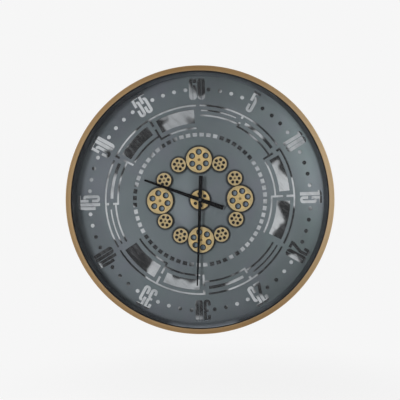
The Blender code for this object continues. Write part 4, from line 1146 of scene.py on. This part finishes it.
class CLOCK_OT_stage(ClockOperator, bpy.types.Operator):
    """Make the floor, the light and the camera"""

    bl_idname = "clock.stage"
    bl_label = "Stage"

    def execute(self, context):
        scene = context.scene
        self.world(scene)
        self.floor()
        self.lamp("left_softbox", (-1.00, -2.00, 0.14), 0.50, 38.0)
        self.lamp("right_softbox", (0.90, -2.10, 0.30), 0.60, 6.0)
        # The camera stands a little off the axis and is tilted sideways, as in the photograph
        camera_data = bpy.data.cameras.new("camera")
        camera_data.angle = math.radians(40.776)
        camera_data.clip_start, camera_data.clip_end = 0.01, 50.0
        camera = bpy.data.objects.new("camera", camera_data)
        camera.location = (0.0011, -1.276, -0.0016)
        camera.rotation_euler = (math.radians(90.042), math.radians(1.6), math.radians(0.059))
        scene.collection.objects.link(camera)
        scene.camera = camera
        scene.view_settings.view_transform = "Standard"
        return {"FINISHED"}

    def lamp(self, name, place, size, power):
        """A round soft lamp aimed at the clock and unseen in its mirror."""
        data = bpy.data.lights.new(name, "AREA")
        data.shape = "DISK"
        data.size = size
        data.energy = power
        lamp = bpy.data.objects.new(name, data)
        lamp.location = place
        lamp.rotation_euler = (-lamp.location).to_track_quat("-Z", "Y").to_euler()
        lamp.visible_glossy = False
        bpy.context.scene.collection.objects.link(lamp)

    def floor(self):
        """A pale floor under the clock that fades into the backdrop."""
        mesh = bpy.data.meshes.new("floor")
        shape = bmesh.new()
        bmesh.ops.create_grid(shape, x_segments=1, y_segments=1, size=12.0)
        shape.to_mesh(mesh)
        shape.free()
        floor = bpy.data.objects.new("floor", mesh)
        floor.location = (0.0, 0.0, -0.62)
        f = material("pale_floor", (0.9, 0.9, 0.9))
        x, y, _ = f.axes()
        far = (x * x + y * y).math("SQRT").steps(0.45, 1.10)
        seen = f.node("ShaderNodeLightPath", output="Is Camera Ray")
        matt = f.node("ShaderNodeBsdfDiffuse", {"Color": f.blend(far * seen, (0.86, 0.86, 0.86), (0.0, 0.0, 0.0))})
        glow = f.node("ShaderNodeEmission", {"Color": (1.0, 1.0, 1.0), "Strength": (far * 0.472 + 0.45) * seen})
        f.end(f.node("ShaderNodeAddShader", {0: matt, 1: glow}))
        mesh.materials.append(f.owner)
        bpy.context.scene.collection.objects.link(floor)
        floor.visible_glossy = False

    def world(self, scene):
        """Even light all round; seen directly it is the pale backdrop, and in the mirror a studio."""
        world = bpy.data.worlds.new("studio")
        scene.world = world
        f = Finish(world)
        direction = f.place("Generated")
        studio = f.node("ShaderNodeBackground", {"Color": self.studio(f, direction), "Strength": 1.0})
        even = f.node("ShaderNodeBackground", {"Color": (0.38, 0.38, 0.38), "Strength": 1.0})
        backdrop = f.node("ShaderNodeBackground", {"Color": (0.922, 0.922, 0.922), "Strength": 1.0})
        path, shine, through = (
            f.node("ShaderNodeLightPath", output=f"Is {kind} Ray") for kind in ("Camera", "Glossy", "Transmission")
        )
        lit = f.node("ShaderNodeMixShader", {0: shine, 1: even, 2: studio})
        behind = (path + through).math("MINIMUM", 1.0)
        f.end(f.node("ShaderNodeMixShader", {0: behind, 1: lit, 2: backdrop}), "ShaderNodeOutputWorld")

    def studio(self, f, direction):
        """What the mirror shows: a clouded pale room with dark places in it, under slanting streaks."""
        x, y, z = f.axes(direction)
        ahead = y.steps(-0.60, -0.93)
        clouds = f.noise(9.0, 3.0, 0.6, direction)
        dark = f.noise(15.0, 2.0, 0.5, direction)
        broad = f.noise(1.0, 2.0, 0.6, f.joined((x + z) * 87.0, (x - z) * 15.0))
        fine = f.noise(1.0, 1.0, 0.5, f.joined((x + z) * 320.0, (x - z) * 37.0, 7.0))
        light = f.blend(clouds.steps(0.35, 0.65), (0.34, 0.35, 0.36), (0.54, 0.55, 0.56))
        light = f.blend(dark.steps(0.50, 0.44), light, (0.03, 0.03, 0.031))
        light = f.blend(broad.steps(0.5, 0.75) * 0.38, light, (0.16, 0.16, 0.17))
        light = f.blend(fine.steps(0.5, 0.8) * 0.35, light, (0.20, 0.20, 0.21))
        return f.blend(ahead, (0.90, 0.90, 0.90), light)


class CLOCK_PT_panel(bpy.types.Panel):
    """The steps that build the clock, in order"""

    bl_idname = "CLOCK_PT_panel"
    bl_label = "Gear wall clock"
    bl_space_type = "VIEW_3D"
    bl_region_type = "UI"
    bl_category = "Gear clock"

    def draw(self, context):
        for operator in OPERATORS:
            self.layout.operator(operator.bl_idname)
        for group in (context.scene.clock_sizes, context.scene.clock_colours):
            column = self.layout.column()
            for name in group.__annotations__:
                column.prop(group, name)


OPERATORS = (
    CLOCK_OT_finishes, CLOCK_OT_hoop, CLOCK_OT_dial, CLOCK_OT_gears, CLOCK_OT_hands, CLOCK_OT_back, CLOCK_OT_stage,
)
CLASSES = (ClockColours, ClockSizes, *OPERATORS, CLOCK_PT_panel)


def register():
    """Registers the classes, and the sizes and colours of a scene."""
    for each in CLASSES:
        bpy.utils.register_class(each)
    bpy.types.Scene.clock_sizes = PointerProperty(type=ClockSizes)
    bpy.types.Scene.clock_colours = PointerProperty(type=ClockColours)


def unregister():
    """Takes them away again."""
    del bpy.types.Scene.clock_colours
    del bpy.types.Scene.clock_sizes
    for each in reversed(CLASSES):
        bpy.utils.unregister_class(each)


def main():
    """Builds the clock."""
    register()
    for operator in OPERATORS:
        group, name = operator.bl_idname.split(".")
        getattr(getattr(bpy.ops, group), name)()
    bpy.context.view_layer.update()


if __name__ == "__main__":
    main()
